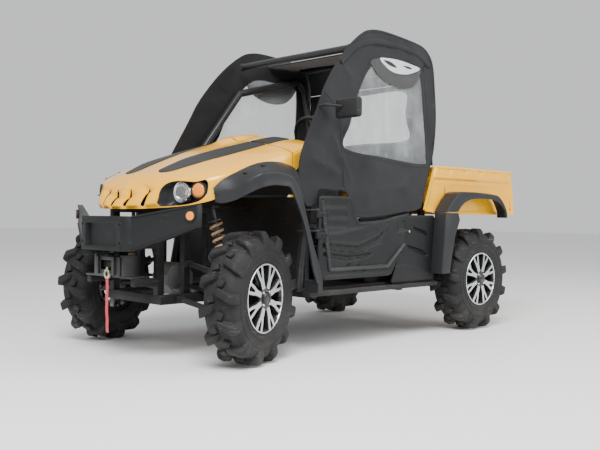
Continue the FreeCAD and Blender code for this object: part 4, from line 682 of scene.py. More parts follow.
nodeSlots = {row["node"]: row["material_slot"] for row in frame["record"]["subparts"]}
for nodeName, node in cadNodes.items():
    while len(node.material_slots) < 1:
        node.data.materials.append(None)
    for place in node.material_slots:
        place.link = "OBJECT"
        place.material = looks[nodeSlots[nodeName]]
print("packed nodes dressed")

# Hood: one skin from the cowl to the nose, with ribs and slots in its front

hoodRows = [
    # x, half width, foot, edge and crown heights, and rise of the scoop
    (450, 541, 1100, 1160, 1238, 12), (545, 541, 1100, 1148, 1228, 20), (678, 563, 985, 1112, 1194, 27),
    (765, 575, 959, 1088, 1168, 8), (900, 578, 930, 1054, 1126, 0), (1050, 580, 900, 1010, 1075, 0),
    (1150, 550, 862, 975, 1036, 0), (1225, 500, 828, 950, 1005, 0), (1290, 390, 806, 938, 980, 0),
    (1360, 290, 795, 908, 952, 0), (1400, 190, 790, 882, 930, 0), (1430, 70, 788, 855, 905, 0),
    (1436, 1, 788, 848, 898, 0),
]
hoodShape = {
    "slotCentres": (62, 187), "slotHalf": 15, "ribHeight": 17,
    "frontLean": 46, "scoopHalf": 78, "wall": 4, "shoulder": 16, "flankShare": 0.22,
}


def hoodPoint(u, rowSpot, shape=hoodShape):
    # u runs from the left foot over the top to the right foot, rowSpot down the table
    x, half, low, edge, crown, rise = alongTable(hoodRows, rowSpot / (len(hoodRows) - 1))
    side = 1 if u < 0.5 else -1
    flank = shape["flankShare"]
    span = min(u, 1 - u)
    if span < flank:
        height, t = span / flank, 1.0
        y = half
        z = low + (edge - low) * height
    else:
        t = 1 - (span - flank) / (0.5 - flank)
        height = 1 + (1 - t) * 1.6
        y = half * t
        z = crown - (crown - edge) * t * t + rise * math.exp(-((y / shape["scoopHalf"]) ** 4))
    # The shoulder is rounded, and the front leans back
    soft = math.exp(-((height - 1) / 0.12) ** 2) * shape["shoulder"] * 0.45
    front = between(1285, 1400, x)
    y -= soft * (1 - 0.4 * front)
    z -= soft * 0.6
    x -= shape["frontLean"] * front * min(height, 1) ** 1.7
    if front > 0:
        nearest = min(abs(half - centre) for centre in shape["slotCentres"])
        ribs = between(0.0, 0.25, height) * (1 - between(1.0, 2.1, height)) * front
        out = shape["ribHeight"] * ribs * (1 - math.exp(-((nearest / 30) ** 2))) * (0.4 + 0.6 * t)
        facing = Vector((0.94, 0.34 * min(half / 190, 1), 0.12)).normalized()
        x, y, z = x + facing.x * out, y + facing.y * out, z + facing.z * out * (1 if height < 1 else 3)
    return Vector((x, side * max(y, 0), z))


def layHood(name, firstRow, lastRow, steps, wall):
    skin = layGrid(name, 96, steps, lambda u, v: hoodPoint(u, firstRow + (lastRow - firstRow) * v))
    wear(skin, looks["yellow_plastic"])
    mergeDoubles(skin)
    thicken(skin, wall)
    return shadeRound(skin, 50)


hoodSkin = layHood("HoodSkin", 2.05, len(hoodRows) - 1, 230, hoodShape["wall"])


# Openings for the lamps: y, z
lampLine = [
    (284, 806), (281, 840), (286, 872), (300, 901), (325, 922), (360, 932), (400, 931), (440, 928),
    (472, 934), (492, 938), (503, 925), (504, 895), (495, 860), (470, 834), (435, 820), (390, 811),
    (330, 804),
]
fasciaLine = ((284, 1360), (291, 1356), (391, 1286), (502, 1221))


def fasciaX(y):
    # Where the front of the hood stands at a distance from the middle
    for (y0, x0), (y1, x1) in zip(fasciaLine, fasciaLine[1:]):
        if y <= y1:
            return x0 + (x1 - x0) * (y - y0) / (y1 - y0)
    return x1 + (y - y1) * (x1 - x0) / (y1 - y0)


def smoothLoop(points, steps):
    ring = points[-1:] + points + points[:2]
    return smoothLine(ring, steps)[steps:-steps - 1]


lampLoop = [(p.x, p.y) for p in smoothLoop(lampLine, 4)]
lampMiddle = Vector((sum(p[0] for p in lampLoop), sum(p[1] for p in lampLoop))) / len(lampLoop)
openers = []
for side in (1, -1):
    openers.append(frontPlate("LampOpener", [(side * y, z) for y, z in lampLoop], 1150, 1460))
    for centre in hoodShape["slotCentres"]:
        # Grille slots, narrower towards the top
        wide = hoodShape["slotHalf"]
        slotLine = [
            (centre - wide, 812), (centre - wide + 5, 803), (centre + wide - 5, 803), (centre + wide, 812),
            (centre + wide * 0.6, 882), (centre + 3, 894), (centre - 3, 894), (centre - wide * 0.6, 882),
        ]
        openers.append(frontPlate("SlotOpener", [(side * y, z) for y, z in slotLine], 1290, 1480))
opener = joinPieces("LampOpener", openers)
faceOutwards(opener)
cutAway(hoodSkin, opener)
shadeRound(hoodSkin, 50)

# Dark wall behind the grille slots: painted shade, a black sheet that stands for the shadow inside the slots

grilleShape = {"half": 235, "low": 800, "height": 84, "behind": 34, "lean": 44, "wall": 3}
frontLine = ((0, 1434), (70, 1428), (190, 1398), (290, 1358))


def grillePoint(u, v):
    y, z = (2 * u - 1) * grilleShape["half"], grilleShape["low"] + grilleShape["height"] * v
    for (y0, x0), (y1, x1) in zip(frontLine, frontLine[1:]):
        if abs(y) <= y1:
            x = x0 + (x1 - x0) * (abs(y) - y0) / (y1 - y0)
            break
    return Vector((x - grilleShape["behind"] - grilleShape["lean"] * v, y, z))


# Black plastic here is painted shade for the slots, not a colour the grille has
grilleShadeWall = thicken(layGrid("GrilleShadeWall", 40, 6, grillePoint), grilleShape["wall"])
deliver(grilleShadeWall, "hood", "black_plastic")

# Two hinge ears behind the front, round the pin's ends
earLine = [(1377, 787), (1393, 787), (1412, 800), (1412, 842), (1396, 842), (1377, 806)]
hoodEars = []
for side in (1, -1):
    ear = sidePlate("HoodEar", earLine, side * 96, side * 104)
    hoodEars.append(softEdges(ear, 1))
    hoodEars.append(shadeRound(startBar("HoodPin", (1385, side * 98, 795), (1385, side * 136, 795), 6)))
hoodHinge = joinPieces("HoodHinge", hoodEars)
deliver(hoodHinge, "hood", "black_plastic")
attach(hoodSkin, "hood")
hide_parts("hood")

cowlSkin = layHood("CowlSkin", 0, 1.96, 40, 4)
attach(cowlSkin, "chassis")
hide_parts("cowl")

# Raised stripes, from a point at the nose back over the cowl
stripeShape = {"lift": 6.5, "edge": 5, "groove": 1.6, "grooveHalf": 2.5}
stripeRows = [
    # x, inner y, outer y
    (1268, 150, 152), (1240, 106, 215), (1160, 98, 262), (1062, 101, 306), (944, 128, 340), (810, 168, 353),
    (690, 200, 356), (674, 203, 356), (600, 213, 355), (520, 221, 352), (496, 226, 344),
]


def rowSpotAt(x):
    low, high = 0.0, len(hoodRows) - 1.0
    for step in range(24):
        middle = (low + high) / 2
        if alongTable(hoodRows, middle / (len(hoodRows) - 1))[0] < x:
            low = middle
        else:
            high = middle
    return (low + high) / 2


def hoodTop(x, y):
    x, half, low, edge, crown, rise = alongTable(hoodRows, rowSpotAt(x) / (len(hoodRows) - 1))
    return crown - (crown - edge) * (y / half) ** 2 + rise * math.exp(-((y / hoodShape["scoopHalf"]) ** 4))


def layStripe(name, side, first, last, steps):
    def stripePoint(u, v):
        x, inner, outer = alongTable(stripeRows, (first + (last - first) * v) / (len(stripeRows) - 1))
        y = inner + (outer - inner) * u
        edge = min(u, 1 - u) * (outer - inner)
        lift = stripeShape["lift"] * min(1, edge / stripeShape["edge"])
        fromGroove = (u - 0.5) * (outer - inner) / stripeShape["grooveHalf"]
        groove = stripeShape["groove"] * math.exp(-(fromGroove ** 2))
        return Vector((x, side * y, hoodTop(x, y) - 1 + lift - groove))
    return shadeRound(layGrid(name, 40, steps, stripePoint), 40)


for side, hand in ((1, "Left"), (-1, "Right")):
    stripe = layStripe("HoodStripe" + hand, side, 0, 6, 60)
    deliver(stripe, "hood", "grey_plastic")
    tail = layStripe("CowlStripe" + hand, side, 7, 10, 24)
    deliver(tail, "chassis", "grey_plastic")
print("hood laid")

# Lamps: a dark tray on each side, with a clear lamp and an amber lamp on its floor

lampShape = {
    # x, y, z and turn outwards in degrees
    "clear": (1290, 365, 876, 8), "amber": (1250, 456, 885, 18), "clearRadius": 52, "amberRadius": 38,
    "dome": 10,
}
# Reflector bowl and tray: radius or share of the opening, and depth
bowlLine = [
    (0, -34), (8, -34), (9, -20), (14, -31), (30, -26), (46, -10), (50, 0), (54, 2), (56, -2), (57, -40),
]
trayRings = (
    (1.015, 3), (0.995, 4), (0.975, 1), (0.965, -14), (0.955, -34), (0.93, -52), (0.6, -54), (0.0, -54),
)


def layDisc(name, centre, axis, profile, around=48):
    # A round form about an axis: profile is (radius, height along the axis), from the middle out
    axis = Vector(axis).normalized()
    side = axis.orthogonal().normalized()
    up = axis.cross(side)
    count = len(profile) - 1

    def discPoint(u, v):
        radius, height = profile[round(v * count)]
        angle = 2 * math.pi * u
        return Vector(centre) + axis * height + (side * math.cos(angle) + up * math.sin(angle)) * radius
    return shadeRound(layGrid(name, around, count, discPoint, closed=True), 40)


def dome(radius, rise, steps=8):
    turns = [math.pi / 2 * step / steps for step in range(steps + 1)]
    return [(radius * math.sin(turn), rise * math.cos(turn)) for turn in turns]


def layTray(name, side):
    def trayPoint(u, v):
        share, depth = trayRings[round(v * (len(trayRings) - 1))]
        y, z = lampLoop[round(u * len(lampLoop)) % len(lampLoop)]
        y = lampMiddle.x + (y - lampMiddle.x) * share
        z = lampMiddle.y + (z - lampMiddle.y) * share
        return Vector((fasciaX(y) + depth, side * y, z))
    tray = layGrid(name, len(lampLoop), len(trayRings) - 1, trayPoint, closed=True)
    return shadeRound(tray, 50)


trays, bowls, lenses, ambers, ringsAround = [], [], [], [], []
for side in (1, -1):
    trays.append(layTray("LampTray", side))
    for kind in ("clear", "amber"):
        x, y, z, turn = lampShape[kind]
        angle = math.radians(turn)
        axis = (math.cos(angle), side * math.sin(angle), 0)
        centre = Vector((x - 6, side * y, z))
        if kind == "clear":
            bowls.append(layDisc("LampBowl", centre, axis, bowlLine))
            # Flutes across the reflector
            for vertex in bowls[-1].data.vertices:
                place = vertex.co * 1000 - centre
                along = place.dot(Vector(axis))
                if -33 < along < -6:
                    vertex.co += Vector(axis) * 0.0012 * math.sin(place.z * 0.45) * math.sin(place.y * 0.45)
            radius = lampShape["clearRadius"]
            glass = [(r, h + 2) for r, h in dome(radius, lampShape["dome"])] + [(radius, -6)]
            lenses.append(layDisc("ClearLamp", centre, axis, glass))
        else:
            radius = lampShape["amberRadius"]
            ambers.append(
                layDisc("AmberLamp", centre, axis, dome(radius, lampShape["dome"]) + [(radius, -30)]),
            )
            for vertex in ambers[-1].data.vertices:
                place = vertex.co * 1000 - centre
                if place.dot(Vector(axis)) > -4:
                    vertex.co += Vector(axis) * 0.0007 * math.sin(place.z * 0.9)
            ringLine = [(37, 3), (39, 6), (43, 5), (45, 0), (45, -30)]
            ringsAround.append(layDisc("LampRing", centre, axis, ringLine))
trays.extend(ringsAround)
deliver(
    joinPieces("LampTrays", trays), "hood", "black_plastic", ["lamp_bezels"], looks["grey_plastic"],
)
deliver(joinPieces("LampBowls", bowls), "hood", "alloy", look=machined)
deliver(joinPieces("ClearLamps", lenses), "hood", "clear_lens", ["headlamps"])
deliver(joinPieces("AmberLamps", ambers), "hood", "amber_lens", ["amber_lamps"])
print("lamps set")

# Front flares: top, shoulder and lower edge at each station, from the front tip to the rear foot

flareRows = [
    # x, y, z of the inner top, of the shoulder and of the lower edge
    (1213, 532, 895, 1210, 542, 872, 1203, 545, 828), (1177, 553, 935, 1185, 575, 885, 1184, 572, 822),
    (1140, 568, 960, 1143, 630, 904, 1146, 627, 837), (1092, 582, 985, 1103, 691, 947, 1104, 690, 873),
    (1017, 592, 1018, 1055, 732, 978, 1052, 728, 902), (933, 594, 1040, 980, 735, 991, 975, 735, 916),
    (840, 595, 1047, 900, 735, 984, 900, 735, 914), (765, 590, 1040, 850, 735, 969, 862, 735, 906),
    (712, 625, 1005, 812, 735, 925, 828, 735, 855), (735, 690, 895, 775, 735, 862, 790, 735, 785),
    (728, 695, 765, 741, 735, 765, 752, 735, 700), (690, 695, 633, 694, 735, 633, 712, 735, 572),
    (638, 695, 498, 640, 735, 498, 686, 735, 473), (606, 695, 398, 606, 735, 398, 655, 735, 398),
]
flareShape = {"wall": 5, "lip": 12, "shoulderShare": 0.2}


def flarePoint(u, v, shape=flareShape):
    row = alongTable(flareRows, v)
    top, shoulder, lower = (Vector(row[i:i + 3]) for i in (0, 3, 6))
    # Top run, rounded shoulder, face, and a lip that turns in
    share = shape["shoulderShare"]
    a = shoulder + (top - shoulder) * share
    b = shoulder + (lower - shoulder) * share
    if u < 0.38:
        return top + (a - top) * (u / 0.38) + Vector((0, 0, 3.5)) * math.sin(math.pi * u / 0.38)
    if u < 0.62:
        t = (u - 0.38) / 0.24
        return a * (1 - t) ** 2 + shoulder * 2 * t * (1 - t) + b * t * t
    if u < 0.92:
        t = (u - 0.62) / 0.3
        return b + (lower - b) * t + Vector((0, -3, 0)) * math.sin(math.pi * t)
    t = (u - 0.92) / 0.08
    return lower + Vector((0, -shape["lip"] * t, -2 * math.sin(math.pi * t)))


flare = layGrid("FrontFlareLeft", 40, 110, flarePoint)
if sum((face.normal.y for face in flare.data.polygons)) < 0:
    flare.data.flip_normals()
thicken(flare, flareShape["wall"])
foot = sidePlate("FlareFoot", [(610, 345), (646, 345), (650, 412), (612, 412)], 630, 733)
softEdges(foot, 3)
shadeRound(flare, 45)
clips = []
for x, y, z in ((1085, 640, 974), (985, 660, 1015), (1196, 548, 868)):
    # Two pressed clips and the bolt at the tip
    clip = startBlock("FlareClip", (x - 17, y - 9, z - 2), (x + 17, y + 9, z + 5))
    clips.append(softEdges(clip, 2))
flare = joinPieces("FrontFlareLeft", [flare, foot] + clips)
flareTwin = mirroredCopy(flare, "FrontFlareRight")
deliver(flare, "chassis", "grey_plastic", ["front_flare_left"])
deliver(flareTwin, "chassis", "grey_plastic", ["front_flare_right"])
print("front flares laid")

# Wheels: tyre and rim modelled once about the Y axis, outer side towards +Y

tyreShape = {"crown": 341.8, "pitches": 13, "long": 52, "slant": 22, "bendTo": 90}
tyreSection = [
    (86, 178), (93, 184), (99, 205), (101, 235), (98, 262), (91, 285), (77, 303), (55, 312), (28, 315),
    (0, 316),
]


def layRound(name, section, around):
    # section is (distance along Y, radius)
    count = len(section) - 1

    def roundPoint(u, v):
        out, radius = section[round(v * count)]
        angle = 2 * math.pi * u
        return Vector((radius * math.sin(angle), out, radius * math.cos(angle)))
    return layGrid(name, around, count, roundPoint, closed=True)


carcass = layRound("TyreCarcass", tyreSection + [(-y, r) for y, r in tyreSection[-2::-1]], 96)

# One lug: out from the middle, over the shoulder and down the side wall
lugPath = [
    (3, 306, 1.0), (22, 308, 1.0), (50, 306, 1.0), (76, 298, 1.05), (90, 280, 1.1), (96, 258, 1.0),
    (98, 240, 0.7),
]
lugTop = [(5, 340), (22, 341.5), (50, 341), (84, 338), (101, 316), (104.5, 288), (101, 254)]


def lugPoint(u, v, shape=tyreShape):
    foot, top = alongTable(lugPath, v), alongTable(lugTop, v)
    # Cross section from one foot over the flat top to the other foot
    rows = (
        (-0.62, 0), (-0.56, 0.45), (-0.5, 0.86), (-0.42, 1), (0, 1), (0.42, 1), (0.5, 0.86), (0.56, 0.45),
        (0.62, 0),
    )
    side, height = rows[round(u * 8)]
    end = between(0, 0.1, v) * (1 - between(0.93, 1, v))
    height *= 0.25 + 0.75 * end
    out = foot[0] + (top[0] - foot[0]) * height
    radius = foot[1] + (top[1] - foot[1]) * height
    along = side * shape["long"] * foot[2] * (0.72 + 0.28 * v)
    # Slanted across the tread, straight down the side wall
    bend = (min(out, shape["bendTo"]) - 50) * math.tan(math.radians(shape["slant"]))
    angle = (along + bend) / 320
    return Vector((radius * math.sin(angle), out, radius * math.cos(angle)))


lug = layGrid("TyreLug", 8, 18, lugPoint)
for vertex in lug.data.vertices:
    vertex.co *= min(1, tyreShape["crown"] / max(math.hypot(vertex.co.x, vertex.co.z) * 1000, 1))
softEdges(lug, 1.2, 1, 40)
lugs = []
pitch = 2 * math.pi / tyreShape["pitches"]
for index in range(tyreShape["pitches"]):
    for side in (1, -1):
        turn = Matrix.Rotation((index + (0 if side == 1 else 0.5)) * pitch, 4, "Y")
        lugs.append(movedCopy(lug, "TyreLug", turn @ Matrix.Scale(side, 4, Vector((0, 1, 0)))))
bpy.data.objects.remove(lug)

# A smaller block in the middle and a short biter on the shoulder, between each two lugs
block = startBlock("TyreBlock", (-17, 8, 312), (17, 44, 334))
biter = startBlock("TyreBiter", (-13, 86, 268), (13, 101, 300))
for spare, width in ((block, 3), (biter, 2.5)):
    softEdges(spare, width)
for index in range(tyreShape["pitches"]):
    for side in (1, -1):
        angle = (index + 0.5 + (0 if side == 1 else 0.5)) * pitch
        for spare, lead in ((block, 0.03), (biter, 0.1)):
            turn = Matrix.Rotation(angle + lead, 4, "Y")
            slant = Matrix.Rotation(math.radians(-24), 4, "Z")
            lugs.append(movedCopy(spare, spare.name, turn @ Matrix.Scale(side, 4, Vector((0, 1, 0))) @ slant))
bpy.data.objects.remove(block)
bpy.data.objects.remove(biter)
ribs = []
for radius, out in ((212, 100.2), (250, 100.5)):
    # Two raised rings on each side wall
    section = [
        (out - 3, radius - 5), (out + 1.5, radius - 2.5), (out + 1.5, radius + 2.5), (out - 3, radius + 5),
    ]
    ribs.append(layRound("TyreRing", section, 96))
    ribs.append(layRound("TyreRing", [(-y, r) for y, r in section], 96))
tyre = shadeRound(joinPieces("Tyre", [carcass] + lugs + ribs), 35)

# Rim: dark barrel, eight split spokes with bright faces, bright lip, cap and nuts
rimShape = {"spokes": 8, "face": (89, 94), "backing": (70, 91), "narrower": 0.9, "wider": 1.04}
barrel = layRound("RimBarrel", [
    (-78, 158), (-82, 176), (-74, 176.5), (-60, 166), (-20, 160), (40, 162), (66, 166), (76, 175),
    (88, 176.5), (92, 175), (91, 168), (84, 164), (60, 158), (-10, 152), (-70, 152), (-78, 158),
], 96)
lip = layRound("RimLip", [(88, 177.2), (93, 177), (94.5, 173.5), (93, 169), (88, 167)], 96)
spokeLine = [
    (50, -15), (96, -17), (128, -26), (168, -34), (170, -17), (132, -9), (112, -4),
    (112, 4), (132, 9), (170, 17), (168, 34), (128, 26), (96, 17), (50, 15),
]
backing = sidePlate("RimSpoke", [(w * rimShape["wider"], r) for r, w in spokeLine], *rimShape["backing"])
softEdges(backing, 2)
faceLine = [(w * rimShape["narrower"], r + (2 if r < 120 else 0)) for r, w in spokeLine]
face = sidePlate("RimFace", faceLine, *rimShape["face"])
softEdges(face, 0.8, 1)
backings, faces = [], []
for index in range(rimShape["spokes"]):
    turn = Matrix.Rotation((index + 0.5) * 2 * math.pi / rimShape["spokes"], 4, "Y")
    backings.append(movedCopy(backing, "RimSpoke", turn))
    faces.append(movedCopy(face, "RimFace", turn))
bpy.data.objects.remove(backing)
bpy.data.objects.remove(face)
hub = layRound("RimHub", [(8, 0), (8, 56), (70, 58), (86, 57), (92, 52), (92, 34), (88, 30), (88, 0)], 48)
cap = layRound("RimCap", [(86, 33), (97, 31), (101, 26), (103, 12), (103.5, 0)], 40)
nuts = []
for index in range(4):
    turn = Matrix.Rotation((index + 0.5) * math.pi / 2, 4, "Y")
    nut = startBar("RimNut", (0, 88, 43), (0, 100, 43), 7, 6)
    nuts.append(movedCopy(softEdges(nut, 1, 1), "RimNut", turn))
    bpy.data.objects.remove(nut)
darkRim = shadeRound(joinPieces("RimDark", [barrel, hub, cap] + backings), 35)
brightRim = shadeRound(joinPieces("RimBright", [lip] + faces + nuts), 35)

wheelPlaces = (
    ("front", "left", "wheel_fl"), ("front", "right", "wheel_fr"),
    ("rear", "left", "wheel_rl"), ("rear", "right", "wheel_rr"),
)
parked = {
    "steer": math.radians(17), "kingpin": (1.066, 0.5415), "rearAxle": -0.96, "track": 0.6315,
    "height": 0.342,
}
for end, hand, body in wheelPlaces:
    side = 1 if hand == "left" else -1
    if end == "front":
        kingpinX, kingpinY = parked["kingpin"]
        out = Vector((0, side * (parked["track"] - kingpinY), parked["height"]))
        turn = Matrix.Rotation(parked["steer"], 4, "Z")
        middle = Vector((kingpinX, side * kingpinY, 0)) + turn.to_3x3() @ out
    else:
        middle = Vector((parked["rearAxle"], side * parked["track"], parked["height"]))
        turn = Matrix.Identity(4)
    place = Matrix.Translation(middle) @ turn @ Matrix.Scale(side, 4, Vector((0, 1, 0)))
    tag = end.title() + hand.title()
    tyreNode, rimNode = "tyre_" + end + "_" + hand, "rim_" + end + "_" + hand
    deliver(movedCopy(tyre, "Tyre" + tag, place), body, "tyre_rubber", [tyreNode])
    deliver(movedCopy(darkRim, "Rim" + tag, place), body, "alloy", [rimNode])
    deliver(movedCopy(brightRim, "RimFaces" + tag, place), body, "alloy", look=machined)
for spare in (tyre, darkRim, brightRim):
    bpy.data.objects.remove(spare)
print("wheels copied")

# Cage: two bent hoops of round tube with their hinge lugs, and cross tubes

hoopLine = [
    (650, 580, 357), (650, 580, 1100), (210, 525, 1757), (-480, 525, 1812), (-570, 525, 1692),
    (-570, 580, 1100), (-570, 580, 357),
]
hoopBends = (130, 170, 70, 60, 130)
cageShape = {"radius": 25, "crossRadius": 22, "collarRadius": 26, "collarWide": 16}
hingeShape = {"x": 592, "y": 668, "lugHeights": (674, 789), "lug": 9, "pin": 6, "head": 9}
for side, hand in ((1, "left"), (-1, "right")):
    hoopPoints = [(x, side * y, z) for x, y, z in hoopLine]
    parts = [layTube("CageHoop", hoopPoints, cageShape["radius"], hoopBends, 16, 10)]
    x, y = hingeShape["x"], side * hingeShape["y"]
    for low in hingeShape["lugHeights"]:
        corners = [(x - 9, y + side * 9, low), (x + 9, y + side * 9, low)]
        corners += [(662, side * 580, low), (638, side * 580, low)]
        parts.append(softEdges(startPlate("HingeLug", corners, (0, 0, hingeShape["lug"])), 1.5))
        parts.append(startBar("HingePin", (x, y, low - 38), (x, y, low + 4), hingeShape["pin"]))
        parts.append(
            softEdges(startBar("HingeHead", (x, y, low + 8), (x, y, low + 15), hingeShape["head"], 6), 1),
        )
    cage = shadeRound(joinPieces("CageTube" + hand.title(), parts), 40)
    deliver(cage, "chassis", "cage_paint", ["cage_" + hand])

# Cross tubes: x, z, half length
crossRows = ((130, 1770, 497), (-450, 1808, 497), (650, 1010, 552), (-570, 1040, 552), (-570, 640, 552))
crossTubes = []
for x, z, half in crossRows:
    crossTubes.append(startBar("CrossTube", (x, -half, z), (x, half, z), cageShape["crossRadius"], 24))
    for side in (1, -1):
        # A welded collar at each end
        near, far = (x, side * (half - cageShape["collarWide"]), z), (x, side * half, z)
        crossTubes.append(softEdges(startBar("CrossCollar", near, far, cageShape["collarRadius"]), 2))
cross = shadeRound(joinPieces("CageCross", crossTubes), 40)
deliver(cross, "chassis", "cage_paint", ["cage_bars"])
print("cage bent")

# Soft doors: one sheet of fabric a side, with a clear window sewn into it

softShape = {
    "face": 613.3, "belt": 1100, "lean": math.atan2(55, 712), "wall": 5, "standOff": 6.5, "folds": 3,
    "wave": 8, "ripple": 4, "deepest": -6, "paneOff": 4,
}
softOutline = [
    (687, 1008), (657, 1118), (523, 1361), (449, 1499), (338, 1645), (226, 1761), (110, 1850), (20, 1890),
    (-120, 1902), (-400, 1883), (-520, 1860), (-585, 1810), (-613, 1740), (-618, 1594), (-612, 1395),
    (-570, 1195), (-518, 1078), (-422, 866), (-372, 805), (-180, 780), (15, 756), (240, 752), (285, 830),
    (318, 898), (430, 901), (545, 900), (560, 832), (640, 812), (686, 900),
]
windowOutline = [
    (310, 1150), (250, 1300), (170, 1480), (60, 1640), (-60, 1715), (-250, 1716), (-430, 1700),
    (-468, 1640), (-478, 1400), (-480, 1150), (-440, 1092), (-60, 1112),
]


def roundedLine(line, steps):
    return [(p.x, p.y) for p in smoothLoop(line, steps)]


def insideLine(line, x, z):
    inside = False
    for (x0, z0), (x1, z1) in zip(line, line[1:] + line[:1]):
        if (z0 > z) != (z1 > z) and x < x0 + (z - z0) / (z1 - z0) * (x1 - x0):
            inside = not inside
    return inside


def distanceTo(line, x, z):
    best = 1e9
    for (x0, z0), (x1, z1) in zip(line, line[1:] + line[:1]):
        dx, dz = x1 - x0, z1 - z0
        t = max(0, min(1, ((x - x0) * dx + (z - z0) * dz) / max(dx * dx + dz * dz, 1e-9)))
        best = min(best, math.hypot(x - x0 - dx * t, z - z0 - dz * t))
    return best


softEdge = roundedLine(softOutline, 4)
windowEdge = roundedLine(windowOutline, 5)
foldLines = (
    # Folds in the fabric: start x, z, end x, z, height, width
    (600, 1080, 360, 1000, 5, 16), (640, 980, 330, 940, -5, 18), (420, 1230, 330, 1060, 5, 14),
    (-600, 1500, -500, 1420, 4, 14), (-590, 1250, -500, 1180, -4, 16), (200, 880, -250, 960, 4, 24),
    (-100, 800, -330, 1010, -4, 22), (300, 1640, 210, 1560, 4, 14), (-560, 1760, -470, 1700, -4, 14),
    (350, 1100, 250, 940, 4, 16), (560, 1200, 430, 1120, -4, 16),
)


def softRelief(x, z, rim):
    # How far the fabric stands in front of the flat panel
    lift = 0
    for x0, z0, x1, z1, height, width in foldLines:
        dx, dz = x1 - x0, z1 - z0
        t = ((x - x0) * dx + (z - z0) * dz) / (dx * dx + dz * dz)
        away = abs((x - x0) * dz - (z - z0) * dx) / math.hypot(dx, dz)
        fade = between(-0.15, 0.25, t) * (1 - between(0.75, 1.15, t))
        lift += softShape["folds"] * height * fade * math.exp(-((away / width) ** 2))
    lift += softShape["wave"] * noise.noise(Vector((x / 190, z / 150, 0.3)))
    lift += softShape["ripple"] * noise.noise(Vector((x / 75, z / 60, 4.3)))
    return max(lift, softShape["deepest"]) * min(1, rim / 50)


def leanedPoint(x, out, z, side):
    # out is measured from the cage side of the flat panel
    pivotY = softShape["face"] - 8
    up = z - softShape["belt"]
    cosine, sine = math.cos(softShape["lean"]), math.sin(softShape["lean"])
    y, z = pivotY + out * cosine - up * sine, softShape["belt"] + up * cosine + out * sine
    return Vector((x, side * y, z))


def fillOutline(name, outline, spacing, placeAt):
    # A flat face cut into a fine mesh, its corners then moved to their places
    clearSelection()
    bpy.ops.mesh.primitive_circle_add(vertices=len(outline), radius=0.01, fill_type="NGON")
    sheet = bpy.context.object
    sheet.name = name
    for (x, z), vertex in zip(outline, sheet.data.vertices):
        vertex.co = atMm(x, 0, z)
    settlePlace(sheet)
    xs, zs = [x for x, z in outline], [z for x, z in outline]
    editAll(sheet)
    for index in range(int((max(xs) - min(xs)) / spacing)):
        bpy.ops.mesh.select_all(action="SELECT")
        bpy.ops.mesh.bisect(plane_co=atMm(min(xs) + (index + 0.5) * spacing, 0, 0), plane_no=(1, 0, 0))
    for index in range(int((max(zs) - min(zs)) / spacing)):
        bpy.ops.mesh.select_all(action="SELECT")
        bpy.ops.mesh.bisect(plane_co=atMm(0, 0, min(zs) + (index + 0.5) * spacing), plane_no=(0, 0, 1))
    leaveEdit()
    for vertex in sheet.data.vertices:
        place = vertex.co * 1000
        vertex.co = placeAt(place.x, place.z) * 0.001
    return sheet


def ribbonAlong(name, line, side, low, high, out, closed=True):
    # A flat strip that follows a line, from low to high beside it, raised by out
    count = len(line)
    total = count if closed else count - 1

    def ribbonPoint(u, v):
        index = round(v * total)
        x, z = line[index % count]
        if closed:
            before, after = line[(index - 1) % count], line[(index + 1) % count]
        else:
            before, after = line[max(index - 1, 0)], line[min(index + 1, count - 1)]
        run = Vector((after[0] - before[0], after[1] - before[1])).normalized()
        aside = low + (high - low) * u
        rise = out * (1 - (2 * u - 1) ** 4)
        place = (x - run.y * aside, z + run.x * aside)
        rise += softRelief(place[0], place[1], 200) * 0.2
        return leanedPoint(place[0], softShape["standOff"] + rise, place[1], side)
    return shadeRound(layGrid(name, 6, total, ribbonPoint), 60)


paleVinyl = makeFinish(
    "PaleVinyl", colour=(0.55, 0.56, 0.58), second=(0.44, 0.45, 0.47), rough=(0.2, 0.35), coat=0.4,
    dustFlat=0.03,
)
shadeLine = [
    (38, 1690), (-40, 1612), (-130, 1576), (-243, 1562), (-350, 1580), (-430, 1638), (-456, 1704),
    (-350, 1722), (-200, 1730), (-60, 1726),
]
ventLine = [
    (-50, 1722), (-110, 1676), (-190, 1652), (-300, 1656), (-390, 1680), (-452, 1712), (-360, 1728),
    (-230, 1738), (-119, 1734),
]
frontSlot = [(-84, 1716), (-140, 1692), (-206, 1686), (-190, 1702), (-140, 1717)]
rearSlot = [(-276, 1706), (-330, 1696), (-366, 1700), (-330, 1710)]
ventRows = (
    # Name, outline in x and z, distance from the cage side, wall, look
    ("WindowShade", shadeLine, 9, 2.5, looks["roof_fabric"]),
    ("WindowVent", ventLine, 12.5, 2.5, paleVinyl),
    ("VentSlotFront", frontSlot, 14.5, 1.5, looks["black_plastic"]),
    ("VentSlotRear", rearSlot, 14.5, 1.5, looks["black_plastic"]),
)
seamRows = (
    # Name, line in x and z, from and to beside the line, rise
    ("DoorZip", [(455, 1462), (352, 1370), (330, 1180), (322, 1000), (318, 915)], -11, 11, 4),
    ("DoorSeam", [(-500, 1850), (-512, 1500), (-505, 1150), (-470, 1000)], -5, 5, 2),
    ("DoorCapSeam", [(300, 1640), (170, 1745), (20, 1800), (-160, 1815), (-420, 1795), (-560, 1735)],
     -34, 8, 9),
)

